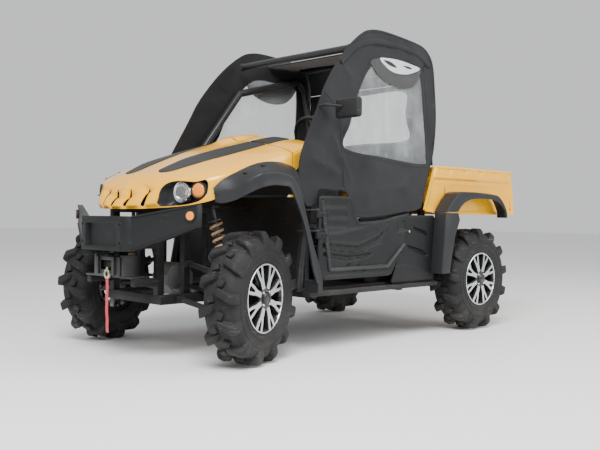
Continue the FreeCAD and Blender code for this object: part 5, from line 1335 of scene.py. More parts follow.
for side, hand in ((1, "left"), (-1, "right")):
    def fabricPoint(x, z, side=side):
        rim = min(distanceTo(softEdge, x, z), distanceTo(windowEdge, x, z))
        return leanedPoint(x, softShape["standOff"] + softRelief(x, z, rim), z, side)

    panel = fillOutline("SoftDoor" + hand.title(), softEdge, 22, lambda x, z: Vector((x, 0, z)))
    hole = sidePlate("WindowHole", windowEdge, -50, 50)
    thicken(panel, softShape["wall"], 0)
    cutAway(panel, hole)
    for vertex in panel.data.vertices:
        place = vertex.co * 1000
        flat = fabricPoint(place.x, place.z)
        vertex.co = (flat + Vector((0, side * (place.y - 2.5), 0))) * 0.001
    faceOutwards(panel)
    shadeRound(panel, 50)
    # Bound edge and window seam, then the open ones
    trims = [ribbonAlong("DoorBinding", softEdge, side, 2, 16, 3)]
    trims.append(ribbonAlong("WindowSeam", windowEdge, side, -22, 4, 2.5))
    for label, corners, low, high, rise in seamRows:
        line = [(p.x, p.y) for p in smoothLine(corners, 8)]
        trims.append(ribbonAlong(label, line, side, low, high, rise, closed=False))
    trim = joinPieces("DoorTrim" + hand.title(), trims)
    deliver(panel, "chassis", "door_fabric", ["soft_door_" + hand])
    deliver(trim, "chassis", "door_fabric")
    # The window: creased clear vinyl

    def panePoint(x, z, side=side):
        rim = distanceTo(windowEdge, x, z)
        crease = 3.5 * math.exp(-(((x + 40 + 0.1 * (z - 1400)) / 14) ** 2))
        crease -= 3 * math.exp(-(((x + 250) / 12) ** 2))
        wave = 4 * noise.noise(Vector((x / 90, z / 260, 7.1 * side)))
        return leanedPoint(x, softShape["paneOff"] + (crease + wave) * min(1, rim / 50), z, side)
    pane = fillOutline("WindowPane" + hand.title(), windowEdge, 18, panePoint)
    faceOutwards(pane)
    shadeRound(pane, 60)
    deliver(pane, "chassis", "clear_vinyl", ["windows"] if side == 1 else [])

    # A shade and a pale vent at the window's top, with two dark slots
    for label, outline, out, wall, look in ventRows:
        def ventPoint(x, z, side=side, out=out):
            return leanedPoint(x, out + 1.5 * noise.noise(Vector((x / 60, z / 60, 3.3))), z, side)
        vent = fillOutline(label + hand.title(), roundedLine(outline, 4), 20, ventPoint)
        faceOutwards(thicken(vent, wall, 0))
        deliver(shadeRound(vent, 50), "chassis", "door_fabric", look=look)
print("soft doors sewn")

# Roof: fabric drawn over the hoops, with seams and a hem

roofShape = {"half": 545, "sag": 10, "wave": 5, "pull": 3, "wall": 5, "seams": (-380, 0, 380), "seamWide": 22}
roofLine = [
    (-160, 1816), (-300, 1828), (-450, 1836), (-500, 1840), (-540, 1826), (-566, 1790), (-590, 1740),
    (-600, 1690), (-601, 1655),
]
roofPath = smoothLine(roofLine, 4)


def roofPoint(u, v):
    spot = roofPath[round(v * (len(roofPath) - 1))]
    y = (2 * u - 1) * roofShape["half"]
    nearSide = 1 - between(0, 60, roofShape["half"] - abs(y))
    sag = roofShape["sag"] * math.sin(math.pi * u) * math.sin(math.pi * v)
    sag += roofShape["wave"] * noise.noise(Vector((u * 5, v * 5, 2.2)))
    pull = roofShape["pull"] * math.sin(math.pi * u * 9) * (1 - abs(2 * v - 1)) * 0.5
    return Vector((spot.x, y, spot.y - (sag + pull) * (1 - nearSide) * between(0, 0.1, v)))


roof = layGrid("RoofCover", 60, len(roofPath) - 1, roofPoint)
thicken(roof, roofShape["wall"])
faceOutwards(roof)
roofSeams = []
for out in roofShape["seams"]:
    # Raised seams along the roof
    def seamPoint(u, v, out=out):
        share = (out + (u - 0.5) * roofShape["seamWide"] + roofShape["half"]) / (2 * roofShape["half"])
        place = roofPoint(share, v)
        return place + Vector((-0.4, 0, 1)).normalized() * (5 + 2.5 * (1 - (2 * u - 1) ** 4))
    roofSeams.append(layGrid("RoofSeam", 5, len(roofPath) - 1, seamPoint))


def hemPoint(u, v):
    return roofPoint(v, 0) + Vector((4 - 24 * u, 0, 2 + 4 * (1 - (2 * u - 1) ** 4)))


roofSeams.append(layGrid("RoofHem", 5, 60, hemPoint))
roofTrim = shadeRound(joinPieces("RoofTrim", roofSeams), 60)
deliver(shadeRound(roof, 60), "chassis", "roof_fabric", ["roof_cover"])
deliver(roofTrim, "chassis", "roof_fabric")

# Rear curtain between the hoops
curtainShape = {"low": 1098, "high": 1651, "half": 575, "narrower": 30, "plane": -600, "wall": 4}
rearCorners = [
    (-380, 1260), (-365, 1440), (-350, 1620), (0, 1632), (350, 1620), (365, 1440), (380, 1260), (0, 1248),
]
rearEdge = roundedLine(rearCorners, 4)


def curtainHalf(z):
    return curtainShape["half"] - curtainShape["narrower"] * (z - curtainShape["low"]) / 554


def curtainPoint(y, z):
    rim = distanceTo(rearEdge, y, z)
    sway = 5 * noise.noise(Vector((y / 130, z / 300, 5.5))) + 3 * math.sin(y / 45 + z / 240)
    free = min(1, rim / 80) * min(1, (curtainHalf(z) - abs(y)) / 60)
    return Vector((curtainShape["plane"] - sway * free, y, z))


def flatCurtain(u, v):
    z = curtainShape["low"] + (curtainShape["high"] - curtainShape["low"]) * v
    return Vector((curtainShape["plane"], (2 * u - 1) * curtainHalf(z), z))


curtain = layGrid("RearCurtain", 64, 36, flatCurtain)
curtainHole = frontPlate("CurtainHole", rearEdge, curtainShape["plane"] - 50, curtainShape["plane"] + 50)
thicken(curtain, curtainShape["wall"], 0)
cutAway(curtain, curtainHole)
for vertex in curtain.data.vertices:
    place = vertex.co * 1000
    behind = Vector((place.x - curtainShape["plane"], 0, 0))
    vertex.co = (curtainPoint(place.y, place.z) + behind) * 0.001
faceOutwards(curtain)


def curtainSeamPoint(u, v):
    count = len(rearEdge)
    index = round(v * count)
    y, z = rearEdge[index % count]
    before, after = rearEdge[(index - 1) % count], rearEdge[(index + 1) % count]
    run = Vector((after[0] - before[0], after[1] - before[1])).normalized()
    aside = -22 + 26 * u
    place = curtainPoint(y - run.y * aside, z + run.x * aside)
    return place + Vector((-2 - 3 * (1 - (2 * u - 1) ** 4), 0, 0))


curtainSeam = shadeRound(layGrid("CurtainSeam", 5, len(rearEdge), curtainSeamPoint), 60)
deliver(shadeRound(curtain, 60), "chassis", "roof_fabric", ["rear_curtain"])
deliver(curtainSeam, "chassis", "roof_fabric")


def rearPanePoint(u, v):
    y, z = (2 * u - 1) * (378 - 28 * v), 1256 + 368 * v
    rim = min(u, 1 - u, v, 1 - v) * 8
    return Vector((-603 + 4 * noise.noise(Vector((y / 120, z / 200, 9.1))) * min(1, rim), y, z))


rearPane = shadeRound(layGrid("RearPane", 36, 18, rearPanePoint), 60)
deliver(rearPane, "chassis", "clear_vinyl")
print("roof drawn over")

# Half doors: a moulded skin with sweeping ridges on a tube frame

doorShape = {"outer": 667, "wall": 12, "step": 6, "hingeHeights": (637, 752), "deepest": 15, "tube": 14}
doorOutline = [
    (572, 440), (553, 418), (520, 404), (220, 404), (-40, 404), (-68, 414), (-170, 560), (-210, 670),
    (-243, 782), (-120, 764), (15, 739), (130, 731), (232, 727), (262, 762), (300, 868), (318, 872),
    (440, 872), (556, 872), (573, 860), (575, 700), (575, 560),
]
ridgeLine = [(560, 640), (420, 648), (250, 672), (90, 706), (-60, 742), (-200, 770)]


def lineHeight(line, x):
    rows = sorted(line)
    for (x0, z0), (x1, z1) in zip(rows, rows[1:]):
        if x <= x1:
            t = max(0, (x - x0) / (x1 - x0))
            return z0 + (z1 - z0) * t
    return rows[-1][1]


wedges = (
    # A sunk wedge: its corners in x, z, and its depth
    ([(540, 612), (240, 588), (60, 640), (-20, 690), (60, 600), (240, 545), (420, 560), (545, 585)], 12),
    ([(535, 560), (330, 535), (110, 548), (20, 590), (150, 520), (330, 505), (540, 535)], 11),
)
slashes = ((330, 470), (250, 462), (170, 454))


def doorRelief(x, z):
    # The skin's outer face against the flat one: sunk below, up to level
    sunk = 0
    rim = distanceTo(doorOutline, x, z)
    sunk += 5 * (1 - between(0, 16, rim))
    above = z - lineHeight(ridgeLine, x)
    sunk += 6 * (1 - between(-24, 4, above)) * between(8, 30, rim)
    sunk += 6 * between(4, 34, above) * between(8, 30, rim)
    for corners, depth in wedges:
        edge = distanceTo(corners, x, z)
        if insideLine(corners, x, z):
            sunk += depth * between(0, 9, edge)
        else:
            sunk -= 3 * math.exp(-(((edge - 7) / 5) ** 2))
    for sx, sz in slashes:
        # Three short slanted marks
        along = (x - sx) * 0.83 + (z - sz) * -0.55
        aside = (x - sx) * 0.55 + (z - sz) * 0.83
        if abs(along) < 40:
            sunk += 9 * math.exp(-((aside / 7) ** 2)) * (1 - between(22, 38, abs(along)))
    # Ribbed block at the front, and the latch recess at the rear
    if 330 < x < 560 and z > 690:
        wave = 0.5 + 0.5 * math.sin((z - 690) / 9.5)
        block = between(330, 350, x) * (1 - between(540, 560, x))
        sunk += 6 * wave * block * between(690, 700, z) * (1 - between(840, 860, z))
    latch = max(abs(x + 165) / 42, abs(z - 700 - (x + 165) * -0.2) / 34)
    sunk += 7 * (1 - between(0.75, 1.0, latch))
    slot = max(abs(x + 160) / 22, abs(z - 694) / 7)
    sunk += 6 * (1 - between(0.7, 1.0, slot))
    return min(max(sunk, 0), doorShape["deepest"])


def moulded(name, outline, outer, wall, spacing, relief, side):
    # A panel with a relief pressed in its outer face
    panel = fillOutline(name, outline, spacing, lambda x, z: Vector((x, 0, z)))
    thicken(panel, wall, 0)
    for vertex in panel.data.vertices:
        place = vertex.co * 1000
        depth = relief(place.x, place.z)
        y = outer - depth if place.y > 0 else outer - wall - 7
        vertex.co = Vector((place.x, side * y, place.z)) * 0.001
    return shadeRound(faceOutwards(panel), 40)


for side, hand in ((1, "left"), (-1, "right")):
    outer, wall = doorShape["outer"], doorShape["wall"]
    panel = moulded("DoorSkin", doorOutline, outer, wall, doorShape["step"], doorRelief, side)
    parts = [panel]
    x, y = hingeShape["x"], side * hingeShape["y"]
    for height in doorShape["hingeHeights"]:
        parts.append(startBar("HingeBarrel", (x, y, height), (x, y, height + 36), 12, 32))
        strap = startBlock("HingeStrap", (500, side * 665, height + 3), (590, side * 671.5, height + 33))
        parts.append(softEdges(strap, 1.5))
        for boltX in (520, 548):
            near, far = (boltX, side * 669, height + 18), (boltX, side * 675, height + 18)
            parts.append(softEdges(startBar("HingeBolt", near, far, 6, 6), 1))
    skin = joinPieces("HalfDoor" + hand.title(), parts)
    faceOutwards(skin)
    deliver(shadeRound(skin, 40), "door_" + hand[0], "door_plastic", ["door_" + hand])
    frameTube = layTube(
        "DoorFrame" + hand.title(),
        [(549, side * 658, 850), (549, side * 661, 393), (-66, side * 661, 393), (-186, side * 661, 590)],
        doorShape["tube"], (70, 70), 14, 8,
    )
    deliver(frameTube, "door_" + hand[0], "door_plastic", look=looks["cage_paint"])
    pin = startBar("LatchPin", (-230, side * 650, 668), (-230, side * 674, 668), 7, 20)
    pin = shadeRound(softEdges(pin, 1.5), 40)
    deliver(pin, "door_" + hand[0], "door_plastic", look=looks["bright_steel"])
print("half doors moulded")

# Side panels behind the doors, with two louvres each

panelShape = {"outer": 641.7, "wall": 10, "step": 6}
panelOutline = [
    (-99, 362), (-112, 348), (-524, 348), (-540, 364), (-540, 752), (-525, 769), (-274, 769), (-258, 752),
    (-200, 620), (-186, 566),
]
louvres = (
    [(-305, 700), (-440, 668), (-470, 640), (-440, 640), (-330, 672)],
    [(-235, 590), (-430, 545), (-470, 512), (-430, 510), (-270, 560)],
)


def panelRelief(x, z):
    sunk = 4 * (1 - between(0, 12, distanceTo(panelOutline, x, z)))
    for corners in louvres:
        edge = distanceTo(corners, x, z)
        if insideLine(corners, x, z):
            sunk += 16 * between(0, 6, edge)
        else:
            sunk -= 2.5 * math.exp(-((edge - 8) / 5) ** 2)
    crease = 3 * math.exp(-(((z - 440) - (x + 330) * 0.12) / 5) ** 2)
    sunk += crease * between(-520, -480, x) * (1 - between(-160, -120, x))
    return max(sunk, 0)


for side, hand in ((1, "Left"), (-1, "Right")):
    outer, wall = panelShape["outer"], panelShape["wall"]
    panel = moulded("SidePanel" + hand, panelOutline, outer, wall, panelShape["step"], panelRelief, side)
    replaced = ["side_panels"] if side == 1 else []
    deliver(panel, "chassis", "door_plastic", replaced)
print("side panels moulded")

# Bed: an open tray with wings, ribs inside, and a band round its top

bedShape = {"half": 640, "wall": 10, "step": 11, "inner": 628, "railRadius": 10, "floorRib": 8, "sheet": 6}
lugLine = [(-1235, 746), (-1205, 746), (-1205, 780), (-1235, 780)]
bedOutline = [
    (-546, 1092), (-520, 1030), (-480, 920), (-434, 806), (-445, 796), (-540, 784), (-660, 778), (-1000, 778),
    (-1400, 778), (-1529, 778), (-1529, 800), (-1510, 930), (-1484, 1078), (-1488, 1091), (-1000, 1092),
]


def bedRelief(x, z):
    sunk = 3 * (1 - between(0, 14, distanceTo(bedOutline, x, z)))
    # A step under the top band, with shallow notches in the band
    sunk += 12 * (1 - between(1002, 1010, z)) * between(6, 24, distanceTo(bedOutline, x, z))
    if z > 1040:
        sunk += 6 * (0.5 + 0.5 * math.cos((x + 700) * 2 * math.pi / 190)) ** 6 * between(1040, 1060, z)
    sunk -= 5 * math.exp(-(((z - 985) / 7) ** 2)) * between(20, 60, distanceTo(bedOutline, x, z))
    return max(sunk, 0)


bedParts = []
for side in (1, -1):
    bedParts.append(moulded(
        "BedWing", bedOutline, bedShape["half"], bedShape["wall"], bedShape["step"], bedRelief, side,
    ))
    railLine = [(-552, side * 634, 1082), (-1486, side * 634, 1082)]
    bedParts.append(layTube("BedRail", railLine, bedShape["railRadius"], (), 14))
    post = startBlock("BedPost", (-1500, side * 546, 778), (-1484, side * bedShape["inner"], 1090))
    bedParts.append(softEdges(post, 3))
    bedParts.append(softEdges(sidePlate("BedLug", lugLine, side * 213, side * 225), 2))


def bedFloorPoint(u, v):
    x, y = -655 - 829 * v, (2 * u - 1) * bedShape["inner"]
    rib = between(0.25, 0.75, 0.5 + 0.5 * math.cos(y * 2 * math.pi / 118))
    inside = min(1, (bedShape["inner"] - abs(y)) / 20) * min(1, v * 30) * min(1, (1 - v) * 30)
    return Vector((x, y, 782 + bedShape["floorRib"] * rib * inside))


def bedFrontPoint(u, v):
    z, y = 778 + 312 * v, (2 * u - 1) * bedShape["inner"]
    rib = between(0.25, 0.75, 0.5 + 0.5 * math.cos(y * 2 * math.pi / 210))
    inside = min(1, v * 12) * min(1, (1 - v) * 12)
    return Vector((-661 - 7 * rib * inside, y, z))


bedFloor = thicken(layGrid("BedFloor", 128, 24, bedFloorPoint), bedShape["sheet"])
bedFront = thicken(layGrid("BedFront", 128, 20, bedFrontPoint), bedShape["sheet"])
bed = joinPieces("BedTray", bedParts + [bedFloor, bedFront])
deliver(shadeRound(bed, 40), "bed", "yellow_plastic", ["bed"])

# Tailgate: a pressed panel on two pins, with a handle
gateShape = {"half": 540, "low": 797, "high": 1092, "wall": 10, "plane": -1499}


def gatePoint(u, v):
    low, high = gateShape["low"], gateShape["high"]
    y, z = (2 * u - 1) * gateShape["half"], low + (high - low) * v
    rim = min(gateShape["half"] - abs(y), z - low, high - z)
    sunk = 3 * (1 - between(0, 12, rim)) + 6 * between(48, 62, rim)
    return Vector((gateShape["plane"] + sunk * 0.8, y, z))


gate = layGrid("TailgateSkin", 90, 40, gatePoint)
thicken(gate, gateShape["wall"], 1 if gate.data.polygons[0].normal.x > 0 else -1)
pins = [startBar("GatePin", (-1492, side * 538, 805), (-1492, side * 564, 805), 4) for side in (1, -1)]
handle = softEdges(startBlock("GateHandle", (-1503, -85, 1020), (-1494, 85, 1052)), 3)
gate = shadeRound(joinPieces("TailgateSkin", [faceOutwards(gate)] + pins + [handle]), 40)
deliver(gate, "tailgate", "yellow_plastic", ["tailgate"])

# Tail lamps on the bed's rear posts
tails = []
for side in (1, -1):
    low, high = sorted((side * 560, side * 620))
    tails.append(softEdges(startBlock("TailLamp", (-1516, low, 836), (-1500.5, high, 926)), 5, 3))
deliver(shadeRound(joinPieces("TailLights", tails), 40), "bed", "red_lens", ["tail_lamps"])
print("bed pressed")

# Rear flares, with a rounded shoulder and a lip that turns in

flareTop = [(-1300, 756), (-1288, 812), (-1220, 890), (-1110, 926), (-720, 926), (-620, 885), (-530, 792)]
flareArch = [(-1262, 756), (-1245, 800), (-1190, 850), (-1090, 880), (-860, 880), (-740, 850), (-668, 792)]
topCurve = [(p.x, p.y) for p in smoothLine(flareTop, 8)]
archCurve = [(p.x, p.y) for p in smoothLine(flareArch, 8)]
rearFlareShape = {"inner": 641.5, "outer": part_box("bed_flares")[1][1] * 1000 - 1, "wall": 4.5, "lip": 11}


def rearFlarePoint(u, v):
    index = round(v * (len(topCurve) - 1))
    top = Vector((topCurve[index][0], 0, topCurve[index][1]))
    arch = Vector((archCurve[index][0], 0, archCurve[index][1]))
    down = (arch - top).normalized()
    inner, outer = rearFlareShape["inner"], rearFlareShape["outer"]
    if u < 0.45:
        t = u / 0.45
        return top + down * (1 + 10 * t * t) + Vector((0, inner + (outer - 16 - inner) * t, 0))
    if u < 0.65:
        t = (u - 0.45) / 0.2
        corner = Vector((0, outer, 0))
        a, b, c = corner + Vector((0, -16, 0)) + down * 11, corner + down * 11, corner + down * 28
        return top + a * (1 - t) ** 2 + b * 2 * t * (1 - t) + c * t * t
    if u < 0.93:
        t = (u - 0.65) / 0.28
        start = top + down * 28
        return start + (arch - start) * t + Vector((0, outer - 3 * math.sin(math.pi * t), 0))
    t = (u - 0.93) / 0.07
    return arch + Vector((0, outer - rearFlareShape["lip"] * t, 0)) - down * (1.5 * math.sin(math.pi * t))


rearFlare = layGrid("RearFlareLeft", 34, len(topCurve) - 1, rearFlarePoint)
if sum(face.normal.y * face.area for face in rearFlare.data.polygons) < 0:
    rearFlare.data.flip_normals()
thicken(rearFlare, rearFlareShape["wall"])
shadeRound(rearFlare, 45)
deliver(mirroredCopy(rearFlare, "RearFlareRight"), "bed", "grey_plastic")
deliver(rearFlare, "bed", "grey_plastic", ["bed_flares"])
print("rear flares laid")

# Bumper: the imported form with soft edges, bolts and a pressed line

bumper = softCopy("bumper", "BumperShell", 2.5, 2, 30)
bumperParts = [bumper]
washerLine = [(7, -4), (7, 0), (11, 0.6), (12, -1), (12, -5)]
for y, z in ((-180, 612), (180, 612), (-180, 708), (180, 708)):
    bumperParts.append(layDisc("BumperWasher", (1529, y, z), (1, 0, 0), washerLine, 24))
for side in (1, -1):
    # A rolled bar along the upper and the lower edge: heights near and far
    for near, far in ((746, 808), (575, 702)):
        edgeLine = [(1497, side * 232, near), (1340, side * 560, far)]
        bumperParts.append(layTube("BumperEdge", edgeLine, 5, (), 10))
bumper = shadeRound(joinPieces("BumperShell", bumperParts), 40)
deliver(bumper, "chassis", "door_plastic", ["bumper"])
lampParts, lampRings = [], []
for side in (1, -1):
    out = Vector((0.9, side * 0.432, 0)).normalized()
    centre = Vector((1352, side * 536, 756)) + out * 10
    disc = layDisc("RoundLamp", centre, out, [(r, h + 2) for r, h in dome(22, 5)] + [(22, -9)], 32)
    for vertex in disc.data.vertices:
        place = vertex.co * 1000 - centre
        if place.dot(out) > 0:
            vertex.co += out * 0.0005 * math.sin(place.z * 1.1)
    lampParts.append(disc)
    lampRings.append(layDisc("RoundLampRing", centre, out, [(21, 2), (23, 4), (26, 3), (26, -9)], 32))
deliver(joinPieces("RoundLamps", lampParts), "chassis", "amber_lens", ["bumper_lamps"])
deliver(joinPieces("RoundLampRings", lampRings), "chassis", "amber_lens", look=looks["black_plastic"])
print("bumper set")

# Springs over dark dampers, with rubber boots


def layCoil(name, low, high, ring, wire, turns):
    low, high = Vector(low), Vector(high)
    axis = (high - low).normalized()
    side = axis.orthogonal().normalized()
    up = axis.cross(side)
    steps = int(turns * 16)
    line = []
    for index in range(steps + 1):
        t = index / steps
        angle = 2 * math.pi * turns * t
        line.append(low + (high - low) * t + (side * math.cos(angle) + up * math.sin(angle)) * ring)
    return layTube(name, line, wire, (), 8)


# Node, axle, top of its tower
shockRows = (("front_shocks", 1066, 810), ("rear_shocks", -960, 740))
springShape = {"ring": 29.5, "wire": 8, "turns": 8.5, "seat": 37.5, "rod": 11.5, "body": 18.5, "eye": 19.5}
bootLine = [(20, -2), (21, 4), (17, 9), (21, 14), (17, 19), (21, 24), (17, 29), (20, 34), (13, 40)]
for node, axle, tower in shockRows:
    coils, bodies, boots = [], [], []
    for side in (1, -1):
        low = Vector((axle - 50, side * 452, 318))
        high = Vector((axle + 18, side * 372, tower - 16))
        run = high - low
        axis = run.normalized()
        near, far = low + run * 0.215, low + run * 0.85
        coils.append(layCoil("Spring", near, far, *(springShape[key] for key in ("ring", "wire", "turns"))))
        for start in (0.18, 0.86):
            seat = low + run * start
            plate = startBar("SpringSeat", seat, seat + axis * 8, springShape["seat"], 32)
            bodies.append(softEdges(plate, 1.5))
        bodies.append(startBar("DamperRod", low, high, springShape["rod"], 20))
        tube = startBar("DamperBody", low + axis * 30, low + run * 0.55, springShape["body"], 24)
        eye = startBar("DamperEye", low - axis * 6, low + axis * 20, springShape["eye"], 24)
        bodies += [softEdges(tube, 2), softEdges(eye, 2)]
        boots.append(layDisc("DamperBoot", low + run * 0.62, axis, bootLine, 28))
    tag = node.split("_")[0].title()
    dampers = shadeRound(joinPieces(tag + "Dampers", bodies), 40)
    deliver(dampers, "chassis", "spring_paint", [node], looks["dark_steel"])
    deliver(joinPieces(tag + "Springs", coils), "chassis", "spring_paint")
    deliver(joinPieces(tag + "Boots", boots), "chassis", "spring_paint", look=looks["black_plastic"])
print("springs wound")

# Strap under the hook: flat webbing hanging in slight waves

strapLow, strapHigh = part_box("strap")
strapMid = (strapLow[0] + strapHigh[0]) * 500
strapShape = {"y": 20, "width": 24.5, "wall": 1.8}


def strapPoint(u, v):
    z = strapLow[2] * 1000 + 1 + v * ((strapHigh[2] - strapLow[2]) * 1000 - 2)
    y = strapShape["y"] + (u - 0.5) * strapShape["width"]
    wave = 2.2 * math.sin(z / 37) * (1 - v) + 0.8 * math.sin(z / 13 + 1)
    weave = 0.25 * math.sin(u * 40)
    return Vector((strapMid + wave + weave, y + 1.5 * math.sin(z / 55) * (1 - v), z))


strap = layGrid("TowStrap", 20, 120, strapPoint)
thicken(strap, strapShape["wall"], 0)
deliver(shadeRound(strap, 50), "chassis", "red_webbing", ["strap"])
print("strap hung")

# Seats: cushions and backs filled and stitched

padShape = {"power": 7, "ripple": 1.0, "rippleSize": 60, "seed": 7}
# A fixed seed, because the noise vectors would differ from run to run without one
noise.seed_set(padShape["seed"])


def padFrom(name, low, high, crown, channels):
    # A padded block: rounded all round, swollen in the middle, with sewn channels
    low, high = Vector(low), Vector(high)
    pad = startBlock(name, low, high)
    editAll(pad)
    bpy.ops.mesh.subdivide(number_cuts=22)
    leaveEdit()
    middle, half = (low + high) / 2, (high - low) / 2
    for vertex in pad.data.vertices:
        place = vertex.co * 1000 - middle
        unit = Vector((place.x / half.x, place.y / half.y, place.z / half.z))
        # Corners drawn in towards a rounded block
        length = sum(abs(part) ** padShape["power"] for part in unit) ** (1 / padShape["power"])
        unit /= max(length, 0.001)
        top = between(0.3, 1, unit.z)
        slack = (1 - unit.x ** 2) * (1 - unit.y ** 2)
        sewn = 0
        for spot in channels:
            sewn += math.exp(-(((unit.y - spot) * half.y / 7) ** 2))
        drop = (1 - slack) * crown + sewn * 5
        place = Vector((unit.x * half.x, unit.y * half.y, unit.z * half.z - top * drop))
        place += Vector(noise.noise_vector(place / padShape["rippleSize"])) * padShape["ripple"]
        vertex.co = (place + middle) * 0.001
    return shadeRound(pad, 60)


seatShape = {
    "cushion": (90, 540), "back": (110, 522), "crown": 9, "backCrown": 8, "channels": (-0.55, 0, 0.55),
    "backChannels": (-0.5, 0.5), "backLean": -98, "backFoot": (-428, 0, 690),
}
for side, hand in ((1, "Left"), (-1, "Right")):
    low, high = sorted(side * edge for edge in seatShape["cushion"])
    corners = (-386, low, 563), (78, high, 703)
    cushion = padFrom("Cushion" + hand, *corners, seatShape["crown"], seatShape["channels"])
    deliver(cushion, "chassis", "seat_vinyl", ["seat_cushions"] if side == 1 else [])
    # The back is made lying down, then raised to its lean
    low, high = sorted(side * edge for edge in seatShape["back"])
    corners = (-4, low, -38), (560, high, 30)
    back = padFrom("Backrest" + hand, *corners, seatShape["backCrown"], seatShape["backChannels"])
    lean = Matrix.Rotation(math.radians(seatShape["backLean"]), 4, "Y")
    raised = Matrix.Translation(atMm(*seatShape["backFoot"])) @ lean
    back.data.transform(raised)
    faceOutwards(back)
    deliver(back, "chassis", "seat_vinyl", ["seat_backs"] if side == 1 else [])
print("seats filled")

# Steering wheel: a padded ring on three flat spokes

steerShape = {"hub": (200, 300, 1209), "tilt": 35, "ring": 171, "grip": 12.5, "swell": 0.9, "shaft": 13}
tilt = math.radians(steerShape["tilt"])
steerAxis = Vector((math.cos(tilt), 0, -math.sin(tilt)))
steerHub = Vector(steerShape["hub"])
steerUp = Vector((math.sin(tilt), 0, math.cos(tilt)))


def ringPoint(u, v):
    angle, about = 2 * math.pi * u, 2 * math.pi * v
    grip = steerShape["grip"] + steerShape["swell"] * between(0.3, 0.7, 0.5 + 0.5 * math.cos(angle * 24))
    out = steerUp * math.cos(angle) + Vector((0, 1, 0)) * math.sin(angle)
    reach = steerShape["ring"] + grip * math.cos(about)
    return steerHub + out * reach + steerAxis * (grip * math.sin(about))


steerRing = layGrid("SteerRing", 144, 14, ringPoint, closed=True)
steerParts = [mergeDoubles(steerRing)]
hubLine = [(0, 3), (22, 2), (34, -3), (36, -10), (36, -38)]
steerParts.append(layDisc("SteerHub", steerHub, -steerAxis, hubLine, 40))
shaftEnds = steerHub + steerAxis * 20, steerHub + steerAxis * 98
steerParts.append(startBar("SteerShaft", *shaftEnds, steerShape["shaft"], 24))
for turn in (0, 120, 240):
    angle = math.radians(turn)
    out = steerUp * math.cos(angle) + Vector((0, 1, 0)) * math.sin(angle)
    aside = steerAxis.cross(out)
    corners = []
    for far, wide in ((25, 17), (90, 12), (166, 14), (166, -14), (90, -12), (25, -17)):
        corners.append(tuple(steerHub + out * far + aside * wide + steerAxis * 5))
    steerParts.append(softEdges(startPlate("SteerSpoke", corners, tuple(steerAxis * 9)), 2))
steering = shadeRound(faceOutwards(joinPieces("SteeringRing", steerParts)), 40)
deliver(steering, "steering", "black_plastic", ["steering_wheel"])

# Mirror: rounded head, glass set in behind a lip, bent arm

mirrorShape = {"low": (392, 642, 1307), "high": (435, 818, 1419), "round": 0.018}
mirrorHead = startBlock("MirrorHead", mirrorShape["low"], mirrorShape["high"])
editAll(mirrorHead)
bpy.ops.mesh.bevel(offset=mirrorShape["round"], segments=6, affect="EDGES")
leaveEdit()
mirrorGlass = softEdges(startBlock("MirrorGlass", (390.5, 656, 1319), (393.5, 804, 1407)), 1)
armLine = [(478, 580, 1356), (512, 580, 1380), (512, 640, 1380), (440, 700, 1372)]
mirrorArm = layTube("MirrorArm", armLine, 7.5, (10, 10), 12, 5)
mirrorFoot = softEdges(startBar("MirrorFoot", (468, 565, 1352), (480, 566, 1360), 14, 24), 2)
mirrorAll = joinPieces("MirrorHead", [mirrorHead, mirrorArm, mirrorFoot])
deliver(shadeRound(mirrorAll, 40), "chassis", "black_plastic", ["mirror"])
deliver(shadeRound(mirrorGlass, 40), "chassis", "black_plastic", look=machined)
print("steering and mirror set")

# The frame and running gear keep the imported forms, with merged corners and soft edges

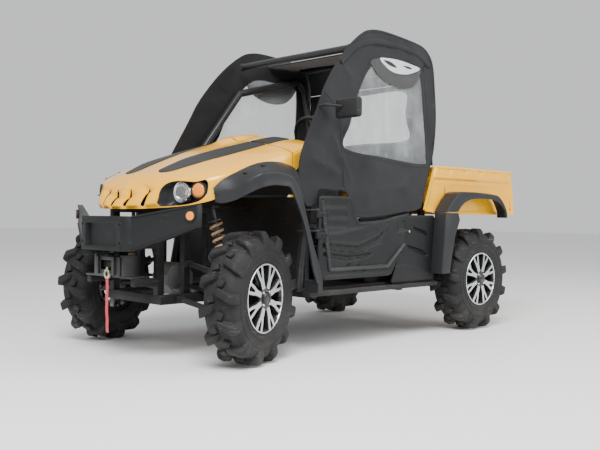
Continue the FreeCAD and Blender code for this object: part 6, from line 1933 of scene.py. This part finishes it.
softRows = (
    # Node, edge width, body
    ("main_frame", 3, "chassis"), ("front_frame", 3, "chassis"), ("rear_frame", 3, "chassis"),
    ("hitch_receiver", 2, "chassis"), ("floor_pan", 3, "chassis"), ("dash", 6, "chassis"),
    ("seat_base", 5, "chassis"), ("engine", 5, "chassis"), ("final_drives", 5, "chassis"),
    ("exhaust", 2, "chassis"), ("front_arms", 2, "chassis"), ("rear_arms", 2, "chassis"),
    ("rear_carriers", 3, "chassis"), ("knuckle_left", 3, "knuckle_l"), ("knuckle_right", 3, "knuckle_r"),
    ("rockers", 4, "chassis"), ("rear_flare_legs", 4, "chassis"), ("winch", 2, "chassis"),
    ("hook", 2, "chassis"),
)
for node, width, body in softRows:
    twin = softCopy(node, node.title().replace("_", "").replace("Seat", "Bench") + "Soft", width)
    deliver(twin, body, nodeSlots[node], [node])
print("running gear softened")

# Floor and light

studio = {
    "sky": (0.97, 0.98, 1.0), "skyStrength": 0.8,
    "floor": (0.86, 0.86, 0.85), "floorSize": 60, "floorRough": 0.85, "aim": (0, 0, 0.8),
    "keyPlace": (3.9, 3.3, 5.4), "keyPower": 760, "keySize": 3.2,
    "frontPlace": (-3.0, 5.5, 3.4), "frontPower": 260, "frontSize": 4.0,
}
world = bpy.data.worlds.new("Studio")
bpy.context.scene.world = world
world.use_nodes = True
world.node_tree.nodes["Background"].inputs["Color"].default_value = (*studio["sky"], 1)
world.node_tree.nodes["Background"].inputs["Strength"].default_value = studio["skyStrength"]

clearSelection()
bpy.ops.mesh.primitive_plane_add(size=studio["floorSize"], location=(0, 0, 0))
floor = bpy.context.object
floor.name = "Floor"
floorLook = bpy.data.materials.new("FloorLook")
floorLook.use_nodes = True
floorShader = floorLook.node_tree.nodes["Principled BSDF"]
floorShader.inputs["Base Color"].default_value = (*studio["floor"], 1)
floorShader.inputs["Roughness"].default_value = studio["floorRough"]
floor.data.materials.append(floorLook)


def hangLight(name, place, power, width):
    light = bpy.data.lights.new(name, "AREA")
    light.energy = power
    light.size = width
    holder = bpy.data.objects.new(name, light)
    bpy.context.scene.collection.objects.link(holder)
    holder.location = place
    aim = Vector(studio["aim"]) - Vector(place)
    holder.rotation_euler = aim.to_track_quat("-Z", "Y").to_euler()


hangLight("Key", studio["keyPlace"], studio["keyPower"], studio["keySize"])
hangLight("Front", studio["frontPlace"], studio["frontPower"], studio["frontSize"])
print("stage set")
